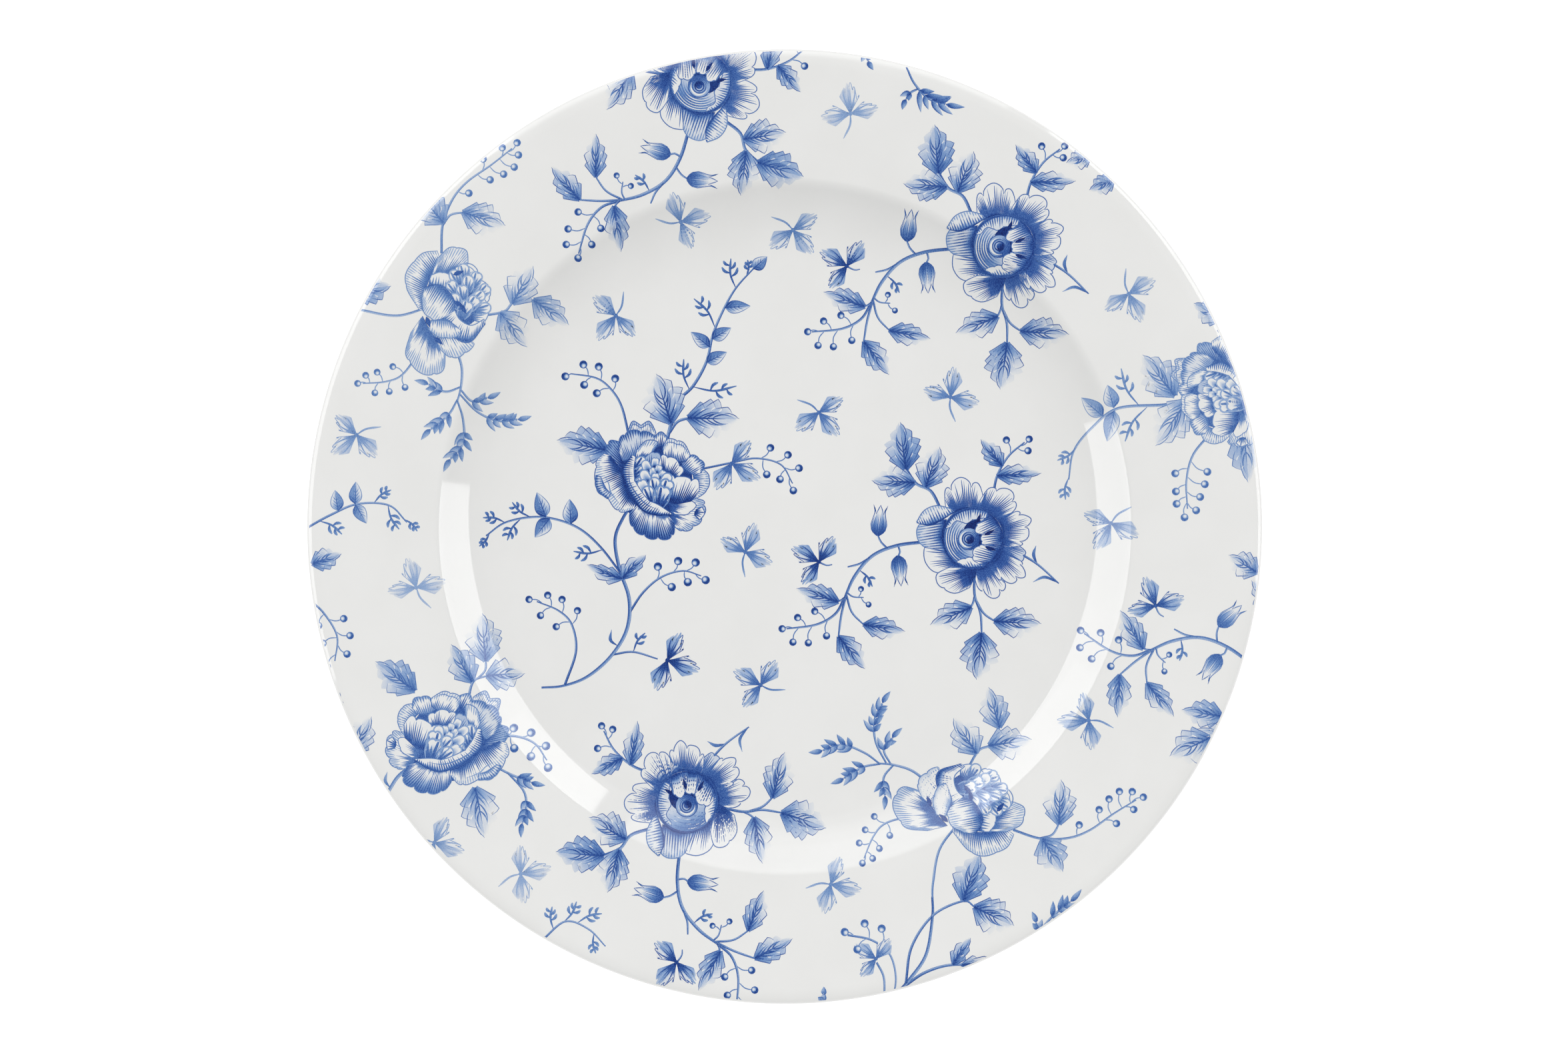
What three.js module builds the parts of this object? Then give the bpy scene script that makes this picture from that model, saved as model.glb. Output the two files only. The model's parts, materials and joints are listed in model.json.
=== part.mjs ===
// China dinner plate: a fired clay body in one piece, under two separate coats of glaze.
//
// The plate is a body of revolution about +Z. Its foot ring stands on z = 0 and the origin is the centre of
// that standing face. Units are millimetres. One outline runs from the centre of the well, over the rim edge
// and back under the plate to the centre of the base. The clay body lies inside it by the glaze's thickness,
// and the foot ring's standing face is left bare, which parts the glaze into a face coat and a base coat.

import * as THREE from "three";

// Driving dimensions
const PLATE_R = 135; // outside radius
const FLOOR_Z = 7.2; // flat floor of the well, above the table
const FLOOR_R = 75; // where the floor starts to rise into the shoulder
const SHOULDER_BEND_R = 31; // radius of the shoulder's hollow curve
const VERGE_R = 97.8; // where the shoulder's curve and the rim's line would cross
const RIM_RISE = 6.4; // rise of the rim from there to the edge, before the edge is rounded
const RIM_CROWN = 0.3; // how much steeper the rim is at the verge, and flatter at the edge, than on average
const VERGE_SOFTNESS = 1.3; // how far the corner between shoulder and rim is eased
const UNDER_SOFTNESS = 4; // the same on the underside

const WELL_THICKNESS = 4.8;
const SHOULDER_THICKNESS = 4.4;
const RIM_THICKNESS = 3.9;
const EDGE_WIDTH = 4.5; // width of the rounded outer edge
const EDGE_DROP = 2.3; // how far its upper side rounds down

const FOOT_OUTER_R = 80.2; // standing face of the foot ring
const FOOT_INNER_R = 76.8;
const FOOT_ROUND = 0.9; // rounding of the standing face's two corners
const FOOT_FLARE = 1.2; // how far each side of the foot spreads towards the body
const GLAZE_LINE_Z = 1.2; // the glaze is wiped off the foot below this height

const GLAZE_THICKNESS = 0.3;
const SEGMENTS = 60; // facets round the plate

// Smaller of two heights, with the corner where they cross eased by k
function easedMin(a, b, k) {
  const h = Math.max(k - Math.abs(a - b), 0) / k;
  return Math.min(a, b) - (h * h * k) / 4;
}

// Height of the shoulder's arc, a circle tangent to the floor, moved outwards by an offset
function shoulderArc(r, offset) {
  const bend = SHOULDER_BEND_R + offset;
  const run = Math.min(Math.max(r - FLOOR_R, 0), bend * 0.98);
  return FLOOR_Z + SHOULDER_BEND_R - Math.sqrt(bend * bend - run * run);
}

// Height of the rim's upper line, a low arch that carries on inwards as a straight line
const VERGE_Z = shoulderArc(VERGE_R, 0);
function rimLine(r) {
  const out = (r - VERGE_R) / (PLATE_R - VERGE_R);
  return VERGE_Z + RIM_RISE * ((1 + RIM_CROWN) * out - RIM_CROWN * Math.max(out, 0) * out);
}

const faceHeight = (r) => (r <= FLOOR_R ? FLOOR_Z : easedMin(shoulderArc(r, 0), rimLine(r), VERGE_SOFTNESS));
const underHeight = (r) =>
  easedMin(shoulderArc(r, SHOULDER_THICKNESS), rimLine(r) - RIM_THICKNESS, UNDER_SOFTNESS);

// Evenly spaced values from a to b, both included
const steps = (a, b, count) => Array.from({ length: count }, (_, i) => a + ((b - a) * i) / (count - 1));

// Points of the upper face, from the centre of the well to the start of the rounded edge
function facePoints() {
  const shoulder = steps(FLOOR_R, VERGE_R - 2, 7);
  const verge = steps(VERGE_R - 0.8, VERGE_R + 2.4, 4);
  const rim = steps(VERGE_R + 9, PLATE_R - EDGE_WIDTH, 4);
  return [0, ...shoulder, ...verge, ...rim].map((r) => new THREE.Vector2(r, faceHeight(r)));
}

// The rounded edge, two quarter ellipses that leave the rim's faces smoothly and meet at the outermost point
function edgePoints() {
  return steps(0, Math.PI, 11)
    .slice(1, -1)
    .map((turn) => {
      const r = PLATE_R - EDGE_WIDTH * (1 - Math.sin(turn));
      const above = turn <= Math.PI / 2;
      const face = above ? faceHeight(r) : underHeight(r);
      const drop = above ? -EDGE_DROP : RIM_THICKNESS - EDGE_DROP;
      return new THREE.Vector2(r, face + drop * (1 - Math.abs(Math.cos(turn))));
    });
}

// Points of the underside, from the rounded edge to the outer side of the foot ring
function underPoints() {
  const foot = FOOT_OUTER_R + FOOT_ROUND + FOOT_FLARE;
  const radii = [...steps(PLATE_R - EDGE_WIDTH, VERGE_R + 9, 3), ...steps(VERGE_R + 3, foot + 1.6, 5)];
  return radii.map((r) => new THREE.Vector2(r, underHeight(r)));
}

// Outer side of the foot ring from the body down to the glaze line
function footOuterPoints() {
  const top = FOOT_OUTER_R + FOOT_ROUND + FOOT_FLARE;
  return [
    new THREE.Vector2(top, underHeight(top) - 0.35),
    new THREE.Vector2(FOOT_OUTER_R + FOOT_ROUND + 0.1, GLAZE_LINE_Z),
  ];
}

// The bare foot: its rounded corners and flat standing face
function barePoints() {
  return [
    new THREE.Vector2(FOOT_OUTER_R + FOOT_ROUND * 0.7, FOOT_ROUND * 0.3),
    new THREE.Vector2(FOOT_OUTER_R, 0),
    new THREE.Vector2(FOOT_INNER_R, 0),
    new THREE.Vector2(FOOT_INNER_R - FOOT_ROUND * 0.7, FOOT_ROUND * 0.3),
  ];
}

// Inner side of the foot ring and the base inside it, up to the centre
function basePoints() {
  const baseZ = FLOOR_Z - WELL_THICKNESS;
  const wall = FOOT_INNER_R - FOOT_ROUND;
  return [
    new THREE.Vector2(wall - 0.1, GLAZE_LINE_Z),
    new THREE.Vector2(wall - FOOT_FLARE * 0.6, baseZ - 0.3),
    new THREE.Vector2(wall - FOOT_FLARE * 1.8, baseZ),
    new THREE.Vector2(0, baseZ),
  ];
}

const glazedFace = [...facePoints(), ...edgePoints(), ...underPoints(), ...footOuterPoints()];
const bareFoot = barePoints();
const glazedBase = basePoints();
const outline = [...glazedFace, ...bareFoot, ...glazedBase];

// Outward normal of the outline at point i, the mean of its two sides
function outwardNormal(i) {
  const before = outline[Math.max(i - 1, 0)];
  const after = outline[Math.min(i + 1, outline.length - 1)];
  const onAxis = outline[i].x === 0;
  const along = after.clone().sub(before).normalize();
  return onAxis ? new THREE.Vector2(0, i === 0 ? 1 : -1) : new THREE.Vector2(-along.y, along.x);
}

// The clay's surface: the outline moved inwards by the glaze, which thins to nothing at the two glaze lines
const faceEnd = glazedFace.length - 1;
const baseStart = glazedFace.length + bareFoot.length;
const clayOutline = outline.map((point, i) => {
  const covered = i < faceEnd || i > baseStart;
  return point.clone().addScaledVector(outwardNormal(i), covered ? -GLAZE_THICKNESS : 0);
});

// Solid of revolution about +Z from a profile that starts and ends on the axis
function turned(name, profile, material) {
  const geometry = new THREE.LatheGeometry(profile, SEGMENTS).rotateX(Math.PI / 2);
  const mesh = new THREE.Mesh(geometry, material);
  mesh.name = name;
  return mesh;
}

const clay = new THREE.MeshStandardMaterial({ color: "#e9e5dc", roughness: 0.8, metalness: 0 });
const glaze = new THREE.MeshStandardMaterial({ color: "#f3f2ee", roughness: 0.12, metalness: 0 });

const faceCoat = [...outline.slice(0, faceEnd + 1), ...clayOutline.slice(0, faceEnd).reverse()];
const baseCoat = [...clayOutline.slice(baseStart + 1).reverse(), ...outline.slice(baseStart)];

const plate = new THREE.Group();
plate.add(turned("clay_body", [...clayOutline].reverse(), clay));
plate.add(turned("face_glaze", faceCoat.reverse(), glaze));
plate.add(turned("base_glaze", baseCoat.reverse(), glaze));

export default plate;
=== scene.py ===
"""China dinner plate with scattered blue flowers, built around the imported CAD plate.

The plate's surfaces are turned from the same profile as the CAD part, in finer steps. Each printed spray is
one piece: closed films of ink, a few hundredths of a millimetre thick, that follow the glaze. Its flowers,
leaves and stems are drawn by the functions below in the plane of the plate, in millimetres, with +X to the
right and +Y to the top, and are then laid on the surface. The Blender scene itself is in metres.
"""

import json
import math

import bpy
import numpy as np
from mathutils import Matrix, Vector


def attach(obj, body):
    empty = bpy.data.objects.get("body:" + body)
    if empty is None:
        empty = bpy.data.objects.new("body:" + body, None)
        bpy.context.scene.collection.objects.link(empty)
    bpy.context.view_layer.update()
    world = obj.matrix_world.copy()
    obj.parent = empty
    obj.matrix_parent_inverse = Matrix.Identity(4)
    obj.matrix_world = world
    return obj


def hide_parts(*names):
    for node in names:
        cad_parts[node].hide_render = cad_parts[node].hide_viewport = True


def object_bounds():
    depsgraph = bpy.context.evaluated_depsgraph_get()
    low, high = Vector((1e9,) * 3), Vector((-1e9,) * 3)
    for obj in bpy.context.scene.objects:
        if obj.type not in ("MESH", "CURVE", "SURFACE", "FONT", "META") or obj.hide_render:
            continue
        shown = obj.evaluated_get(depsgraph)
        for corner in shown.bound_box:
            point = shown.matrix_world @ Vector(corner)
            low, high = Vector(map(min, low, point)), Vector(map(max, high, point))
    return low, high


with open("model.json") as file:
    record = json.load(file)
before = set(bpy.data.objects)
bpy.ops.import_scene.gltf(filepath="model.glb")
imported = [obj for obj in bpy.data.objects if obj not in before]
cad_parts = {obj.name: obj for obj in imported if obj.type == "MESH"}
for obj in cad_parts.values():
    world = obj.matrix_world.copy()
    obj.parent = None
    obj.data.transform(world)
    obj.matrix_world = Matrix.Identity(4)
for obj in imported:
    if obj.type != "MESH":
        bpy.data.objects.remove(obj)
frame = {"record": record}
cad_low, cad_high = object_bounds()
mounts = {m["name"]: m for m in frame["record"]["mounts"]}

MM = 0.001  # metres in a millimetre

# Driving dimensions in millimetres, the CAD part's own
PLATE_R = cad_high.x / MM
FLOOR_Z = mounts["well_floor"]["pos_m"][2] / MM
FLOOR_R = 75.0
SHOULDER_BEND_R = 31.0
VERGE_R = 97.8
RIM_RISE = 6.4
RIM_CROWN = 0.3
VERGE_SOFTNESS = 1.3
UNDER_SOFTNESS = 4.0
WELL_THICKNESS = 4.8
SHOULDER_THICKNESS = 4.4
RIM_THICKNESS = 3.9
EDGE_WIDTH = 4.5
EDGE_DROP = 2.3
FOOT_OUTER_R = 80.2
FOOT_INNER_R = 76.8
FOOT_ROUND = 0.9
FOOT_FLARE = 1.2
GLAZE_LINE_Z = 1.2
GLAZE_THICKNESS = 0.3

SEGMENTS = 360  # steps round the plate
PRINT_R = 134.3  # the prints are cut off at this radius, on the rounded edge
CUT_SLACK = 0.02  # cells with no corner this far inside the cut are left out
FILM_SUNK = 0.01  # how far a film's underside lies in the glaze
FILM_LIFT = 0.014  # how far the lowest ink stands above the glaze
FILM_STEP = 0.006  # extra height of each level of overlapping ink
LEVEL_SPREAD = 0.1  # part of a level by which films of the same level differ
GOLDEN_SHARE = 0.618  # spreads those differences evenly
LEAST_CELL = 0.0004  # four times the area below which a film's cell is left out, in square millimetres
CELL_ON_BENDS = 0.55  # longest side of a film's cells where the glaze bends sharply
BEND_INSIDE, BEND_OUTSIDE = 3, 3.5  # how far inside and outside the verge the glaze still bends sharply
THIN_INK = 0.62  # the tone above which the ink of a line is held back
THIN_INK_GAIN = 0.68  # the share of the tone above it that is left
GLAZE_TAPER = 1.6  # the glaze thins to nothing over this distance from the bare foot
SHARP_ANGLE = 50  # degrees between two faces above which their edge stays sharp
UV_MARGIN = 0.01  # free border of a UV map, as a share of it
UV_BORDER = 0.2  # and round a print, in millimetres
PATH_SPACING = 0.4  # between the points of a path that things are placed along, or of a petal's outline
STROKE_PITCH = 0.74  # between the strokes of a petal
PETAL_CELL_ACROSS, PETAL_CELL_ALONG = 0.9, 0.8  # widths of the cells of a petal's wash
FERN_PITCH = 2.3  # between the pairs of leaves of a fern


# ---------------------------------------------------------------- The plate's profile

def eased_min(a, b, k):
    """The smaller of two heights, with the corner where they cross eased by k."""
    h = np.maximum(k - np.abs(a - b), 0) / k
    return np.minimum(a, b) - h * h * k / 4


def shoulder_arc(r, offset=0.0):
    """Height of the shoulder's hollow, a circle tangent to the floor, moved outwards by an offset."""
    bend = SHOULDER_BEND_R + offset
    run = np.clip(r - FLOOR_R, 0, bend * 0.98)
    return FLOOR_Z + SHOULDER_BEND_R - np.sqrt(bend * bend - run * run)


def rim_line(r):
    """Height of the rim's upper line, a low arch that carries on inwards as a straight line."""
    out = (r - VERGE_R) / (PLATE_R - VERGE_R)
    return shoulder_arc(VERGE_R) + RIM_RISE * ((1 + RIM_CROWN) * out - RIM_CROWN * np.maximum(out, 0) * out)


def edge_drop(r, drop):
    """How far the rounded edge has turned away from the rim's face at r."""
    share = np.clip((r - PLATE_R + EDGE_WIDTH) / EDGE_WIDTH, 0, 1)
    return drop * (1 - np.sqrt(1 - share * share))


def face_height(r):
    """Height of the plate's upper face."""
    r = np.asarray(r, float)
    sloped = eased_min(shoulder_arc(r), rim_line(r), VERGE_SOFTNESS)
    return np.where(r <= FLOOR_R, FLOOR_Z, sloped) - edge_drop(r, EDGE_DROP)


def under_height(r):
    """Height of the plate's underside, outside the foot ring."""
    r = np.asarray(r, float)
    sloped = eased_min(shoulder_arc(r, SHOULDER_THICKNESS), rim_line(r) - RIM_THICKNESS, UNDER_SOFTNESS)
    return sloped + edge_drop(r, RIM_THICKNESS - EDGE_DROP)


def face_normal(x, y):
    """Unit normals of the upper face at points in the plane."""
    r = np.hypot(x, y)
    step = 0.02
    outer = np.minimum(r + step, PLATE_R - 0.001)
    slope = (face_height(outer) - face_height(r - step)) / (outer - r + step)
    away = np.column_stack([x, y]) / np.maximum(r, 1e-6)[:, None]
    normal = np.column_stack([-slope[:, None] * away, np.ones_like(r)])
    return normal / np.linalg.norm(normal, axis=1)[:, None]


# ---------------------------------------------------------------- Ink

def curve(points, spacing=0.6):
    """A smooth line through the points, with a point about every spacing millimetres."""
    p = np.asarray(points, float)
    ends = np.vstack([2 * p[0] - p[1], p, 2 * p[-1] - p[-2]])
    parts = []
    for a, b, c, d in zip(ends, ends[1:], ends[2:], ends[3:]):
        count = max(2, math.ceil(np.linalg.norm(c - b) / spacing))
        t = np.linspace(0, 1, count, endpoint=False)[:, None]
        bend = (2 * a - 5 * b + 4 * c - d) * t**2 + (3 * b - a - 3 * c + d) * t**3
        parts.append(b + 0.5 * ((c - a) * t + bend))
    return np.vstack([*parts, p[-1:]])


def fade(t, low, high):
    """0 up to low, 1 from high on, and a smooth step between."""
    u = np.clip((t - low) / (high - low), 0, 1)
    return u * u * (3 - 2 * u)


def blend_of(value, t):
    """A value along t: a number stays as it is, and a list of numbers is spread evenly over t."""
    values = np.atleast_1d(np.asarray(value, float))
    return np.interp(t, np.linspace(0, 1, len(values)), values) if len(values) > 1 else values[0] + 0 * t


def leftwards(points):
    """Unit vectors square to a line, or to k lines, towards its left."""
    along = np.gradient(points, axis=-2)
    along /= np.maximum(np.linalg.norm(along, axis=-1), 1e-9)[..., None]
    return np.stack([-along[..., 1], along[..., 0]], axis=-1)


def on_bends(points):
    """Which of the k grids cross the verge or the rounded edge, where the glaze bends sharply."""
    radii = np.hypot(points[..., 0], points[..., 1]).reshape(len(points), -1)
    low, high = radii.min(axis=1), radii.max(axis=1)
    return ((low < VERGE_R + BEND_OUTSIDE) & (high > VERGE_R - BEND_INSIDE)) | (high > PLATE_R - EDGE_WIDTH)


def finer(points, tones):
    """The same grids in cells no longer than CELL_ON_BENDS."""
    for axis in (1, 2):
        cell = np.linalg.norm(np.diff(points, axis=axis), axis=-1).max()
        parts = math.ceil(cell / CELL_ON_BENDS)
        if parts > 1:
            count = points.shape[axis]
            place = np.linspace(0, count - 1, (count - 1) * parts + 1)
            first = np.minimum(place.astype(int), count - 2)
            share = (place - first).reshape([-1 if a == axis else 1 for a in range(3)])
            tones = np.take(tones, first, axis) * (1 - share) + np.take(tones, first + 1, axis) * share
            share = share[..., None]
            points = np.take(points, first, axis) * (1 - share) + np.take(points, first + 1, axis) * share
    return points, tones


class Sheet:
    """The ink of one printed piece: grids of points in the plane with a tone, from 0 for bare glaze to 1."""

    def __init__(self):
        self.points, self.tones, self.levels, self.quads = [], [], [], []
        self.count, self.laid = 0, 0

    def lay(self, points, tones, level):
        """Adds k grids at once: points are k x n x m x 2 and tones k x n x m. Each gets a slightly different
        height of its own, so that films that overlap never touch."""
        levels = level + LEVEL_SPREAD * ((self.laid + np.arange(len(points))) * GOLDEN_SHARE % 1)
        self.laid += len(points)
        bent = on_bends(points)
        for some, refine in ((~bent, False), (bent, True)):
            if some.any():
                grids = finer(points[some], tones[some]) if refine else (points[some], tones[some])
                self.add(*grids, levels[some])

    def add(self, points, tones, levels):
        """Adds k grids at their k levels, all facing up, without the cells where a grid folds over itself."""
        k, n, m = tones.shape
        index = np.arange(k * n * m).reshape(k, n, m)
        corners = [index[:, :-1, :-1], index[:, 1:, :-1], index[:, 1:, 1:], index[:, :-1, 1:]]
        quads = np.stack(corners, axis=-1).reshape(k, -1, 4)
        at = points.reshape(-1, 2)[quads]
        ahead, back = np.roll(at, -1, axis=2) - at, np.roll(at, 1, axis=2) - at
        turns = ahead[..., 0] * back[..., 1] - ahead[..., 1] * back[..., 0]
        facing_down = turns.sum(axis=(1, 2)) < 0
        turns[facing_down] *= -1
        quads[facing_down] = quads[facing_down][..., ::-1]
        sound = (turns.sum(axis=2) > LEAST_CELL) & ((turns > 0).sum(axis=2) > 2)
        self.quads.append(quads[sound] + self.count)
        self.points.append(points.reshape(-1, 2))
        self.tones.append(np.clip(tones, 0, 1).reshape(-1))
        self.levels.append(np.repeat(levels, n * m))
        self.count += k * n * m


class Pen:
    """Draws on a sheet in a frame of its own, which at() moves, turns, scales and mirrors."""

    def __init__(self, sheet, axes=np.eye(2), origin=np.zeros(2), strength=1.0, level=0):
        self.sheet, self.axes, self.origin, self.strength, self.level = sheet, axes, origin, strength, level

    def at(self, x, y, turn=0.0, size=1.0, flip=False, strength=1.0, level=0):
        """A pen whose origin is at (x, y), turned by degrees and mirrored in its own X axis if flip is set. Its
        tones are multiplied by strength, and its films lie so many levels higher."""
        c, s = math.cos(math.radians(turn)), math.sin(math.radians(turn))
        own = size * np.array([[c, -s], [s, c]]) @ np.diag([1.0, -1.0 if flip else 1.0])
        origin = self.axes @ np.array([x, y], float) + self.origin
        return Pen(self.sheet, self.axes @ own, origin, self.strength * strength, self.level + level)

    def grids(self, points, tones, lift=0.0):
        """Lays k grids, points k x n x m x 2 in the pen's frame, at the pen's level plus lift."""
        placed = points @ self.axes.T + self.origin
        self.sheet.lay(placed, np.asarray(tones) * self.strength, self.level + lift)

    def wash(self, shape, tone, across, along, lift=0.0):
        """Fills a shape, a function of s from -1 to 1 and t from 0 to 1, with a tone or a function of s and t.
        across and along are numbers of points, or the values of s and t themselves."""
        s = np.linspace(-1, 1, across) if np.isscalar(across) else across
        t = np.linspace(0, 1, along) if np.isscalar(along) else along
        s, t = np.meshgrid(s, t, indexing="ij")
        self.grids(shape(s, t)[None], ((tone(s, t) if callable(tone) else tone) + 0 * s)[None], lift)

    def disc(self, radius, tone, count, lift=0.0):
        """Fills a disc about the pen's origin with a grid of count by count points."""
        self.wash(disc_shape(radius), tone, count, np.linspace(-1, 1, count), lift)

    def lines(self, points, width, tone, lift=0.0, ends=(0.4, 0.3)):
        """Draws k lines at once, points k x n x 2. ends are the shares of the width left at each end. The
        darkest tones are held back, or thin lines would stand out black."""
        side = leftwards(points)
        t = np.linspace(0, 1, points.shape[1])
        taper = np.minimum(blend_of([ends[0], 1, 1, 1, 1], t), blend_of([1, 1, 1, 1, ends[1]], t))
        half = (blend_of(width, t) * taper / 2)[None, :, None]
        sides = np.stack([points + side * half, points - side * half], axis=2)
        inked = np.clip(blend_of(tone, t), 0, 1)
        inked = np.where(inked > THIN_INK, THIN_INK + THIN_INK_GAIN * (inked - THIN_INK), inked)
        self.grids(sides, np.broadcast_to(inked[None, :, None], sides.shape[:3]), lift)

    def line(self, points, width, tone, lift=0.0, ends=(0.4, 0.3)):
        """Draws one line through points that are already close together."""
        self.lines(np.asarray(points, float)[None], width, tone, lift, ends)

    def stem(self, points, width):
        """A stem through a few points: a blue line, darker along one side and lighter along the other."""
        p, tone = curve(points, 0.7), np.array([0.8, 0.6, 0.54, 0.66])
        self.line(p, np.multiply(width, 1.3), tone, ends=(0.9, 0.7))
        shift = leftwards(p) * blend_of(width, np.linspace(0, 1, len(p)))[:, None] * 0.45
        self.line(p - shift, np.multiply(width, 0.4), tone + 0.2, 0.4, ends=(0.6, 0.4))
        self.line(p + shift * 0.7, np.multiply(width, 0.24), tone - 0.24, 0.4)

    def hook(self, points, width, tone):
        """A bare side shoot, thickest in its middle."""
        self.line(curve(points, 0.5), width, tone, 0.3)


# ---------------------------------------------------------------- Shapes: a place for each s and t

def leaf_shape(length, width, bend=0.0, belly=0.72):
    """A smooth-edged leaf from its stalk at the origin to its tip at (length, bend). It is widest nearer to its
    stalk the smaller belly is."""
    def place(s, t):
        body = np.sin(np.pi * np.clip(t, 0.012, 0.985) ** belly) ** 0.9
        x = length * t + 0.05 * length * np.abs(s) * (1 - t)
        return np.stack([x, s * width / 2 * body + bend * t * t], axis=-1)
    return place


def lobe_shape(length, width, side, first, last, lean, bite, bend):
    """One tooth of a leaf, from the midrib at s = 0 to its edge at s = 1, between two shares of the length. It
    leans forward by lean, and its point stands out by bite."""
    def place(s, t):
        share = first + (last - first) * t
        body = np.sin(np.pi * np.clip(share, 0.015, 0.98) ** 0.72) ** 0.85
        bulge = bite * np.interp(t, [0, 0.5, 0.75, 0.875, 1], [0, 0.62, 1, 0.7, 0]) - 0.26
        x = length * (share + lean * s**1.4 * t**1.3 * (1 - 0.5 * share) - 0.03 * s * (1 - t))
        y = side * s * width / 2 * body * (1 + bulge * s**2) + bend * share**2
        return np.stack([x, y], axis=-1)
    return place


def petal_shape(base, rim, lobes, depth):
    """A petal between two close lines of points: s runs along both and t from the base to the rim, which has
    round lobes, cut in by a share of the petal's height."""

    def along(path, share):
        place = share * (len(path) - 1)
        return np.stack([np.interp(place, np.arange(len(path)), path[:, axis]) for axis in (0, 1)], axis=-1)

    def place(s, t):
        share = (s + 1) / 2
        low, high = along(base, share), along(rim, share)
        bumps = np.abs(np.sin(np.pi * lobes * share)) ** 0.5
        cut = depth * (1 - bumps) * (0.85 + 0.15 * np.sin(5 * share * lobes))
        return low + (high - low) * ((1 - cut) * t)[..., None]
    return place


def wedge_shape(length, width, teeth):
    """A leaflet that widens from its stalk end and closes in again to a toothed end."""
    def place(s, t):
        half = width / 2 * (0.06 + 0.94 * np.sin(np.pi / 2 * (t / 0.72) ** 1.25))
        dent = 1 - np.abs(np.sin(np.pi * teeth * (s + 1) / 2)) ** 0.6
        x = length * t * (1 - 0.3 * s * s * t * t) - length * 0.27 * dent * t**5
        return np.stack([x, s * half], axis=-1)
    return place


def cup_shape(length, width):
    """A closed bud like a small bell: a round base, a slender neck and three flared petal tips."""
    def place(s, t):
        profile = np.interp(t, [0, 0.06, 0.16, 0.38, 0.6, 0.78, 1], [0.16, 0.5, 0.84, 1.0, 0.76, 0.6, 0.86])
        notch = 1 - np.abs((s + 1) % 1.0 - 0.5) * 2
        x = length * t - length * 0.3 * (1 - (1 - notch) ** 0.8) * t**4
        return np.stack([x, s * width / 2 * profile], axis=-1)
    return place


def disc_shape(radius):
    """A disc about the origin, from s and t between -1 and 1."""
    def place(s, t):
        return radius * np.stack([s * np.sqrt(1 - t * t / 2), t * np.sqrt(1 - s * s / 2)], axis=-1)
    return place


def circle(radius, start, stop, count=49):
    """Points round a circle about the origin, between two angles in degrees."""
    angle = np.radians(np.linspace(start, stop, count))
    return radius * np.column_stack([np.cos(angle), np.sin(angle)])


def around(shape, t, s):
    """Points up one side of a shape at the given t, across its end at the given s and down its other side."""
    return np.vstack([shape(-1 + 0 * t, t)[:-1], shape(s, 1 + 0 * s), shape(1 + 0 * t, t)[::-1][1:]])


def fan(shape, s, share):
    """Strokes in a shape, one from its base at each s, each as long as share says for that s."""
    run = np.linspace(0, 1, 8)[None]
    s = s[:, None]
    return shape(s + 0 * run, 0.03 + share(s) * run)


# ---------------------------------------------------------------- Leaves, berries, buds and twigs

def leaf(pen, x, y, turn, length, width, bend=0.0, teeth=4, dark=0.0, flip=False):
    """A leaf with teeth that lean forward, dark at its stalk, with strokes that leave its midrib and run
    forward. One half is paler than the other, and dark deepens both."""
    p = pen.at(x, y, turn, flip=flip, level=1)
    run = np.linspace(0, 1, 8)[None]
    edge = np.linspace(0, 1, 9)
    for side in (-1, 1):
        deep = 0.34 + dark if side < 0 else 0.2 + 0.6 * dark
        lobes = [lobe_shape(length, width, side, i / teeth, (i + 1) / teeth, 0.17 + 0.05 * (i % 2),
                            0.7 - 0.14 * (i % 2), bend) for i in range(teeth)]
        for i, lobe in enumerate(lobes):

            def tone(s, t, first=i / teeth, deep=deep):
                share = first + t / teeth
                stalk = (0.8 - deep) * (1 - fade(share, 0.0, 0.42)) * (1 - 0.6 * s)
                shadow = 0.16 * (1 - t) * s * (1 - s) - 0.1 * fade(s, 0.3, 1.0) * (0.4 + t)
                return deep * (1 - 0.35 * share) + stalk + shadow

            p.wash(lobe, tone, np.linspace(0, 1, 6), 9, 0.12 * (teeth - i))
            if i < teeth - 1:
                slit = np.linspace(1, 0.34 + 0.2 * (i % 2), 5)
                p.line(lobe(slit, 1 + 0 * slit), (0.42, 0.3, 0.1), 0.02 + 0.5 * dark, 0.7)
        smooth = lobe_shape(length, width, side, 0, 1, 0.0, 0.0, bend)
        start = np.linspace(0.01, 0.52, teeth + 1 if side < 0 else teeth)[:, None]
        far = 0.72 + 0.2 * np.cos(13 * start + side)
        forward = 0.4 + 0.1 * np.sin(17 * start + 2 * side)
        p.lines(smooth(0.02 + far * run**0.9, start + forward * run), (0.5, 0.36, 0.1),
                (0.95, 0.76 - 0.06 * side, 0.45), 0.8)
        for lobe in lobes[:teeth if side < 0 else 2]:
            p.line(lobe(1 + 0 * edge, edge), 0.23, (0.7, 0.85, 0.7), 1.0)
    share = np.linspace(0, 0.8, 12)
    p.line(np.column_stack([length * share, bend * share**2]), (0.8, 0.46, 0.2), (0.98, 0.86, 0.6), 1.2)


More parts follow.
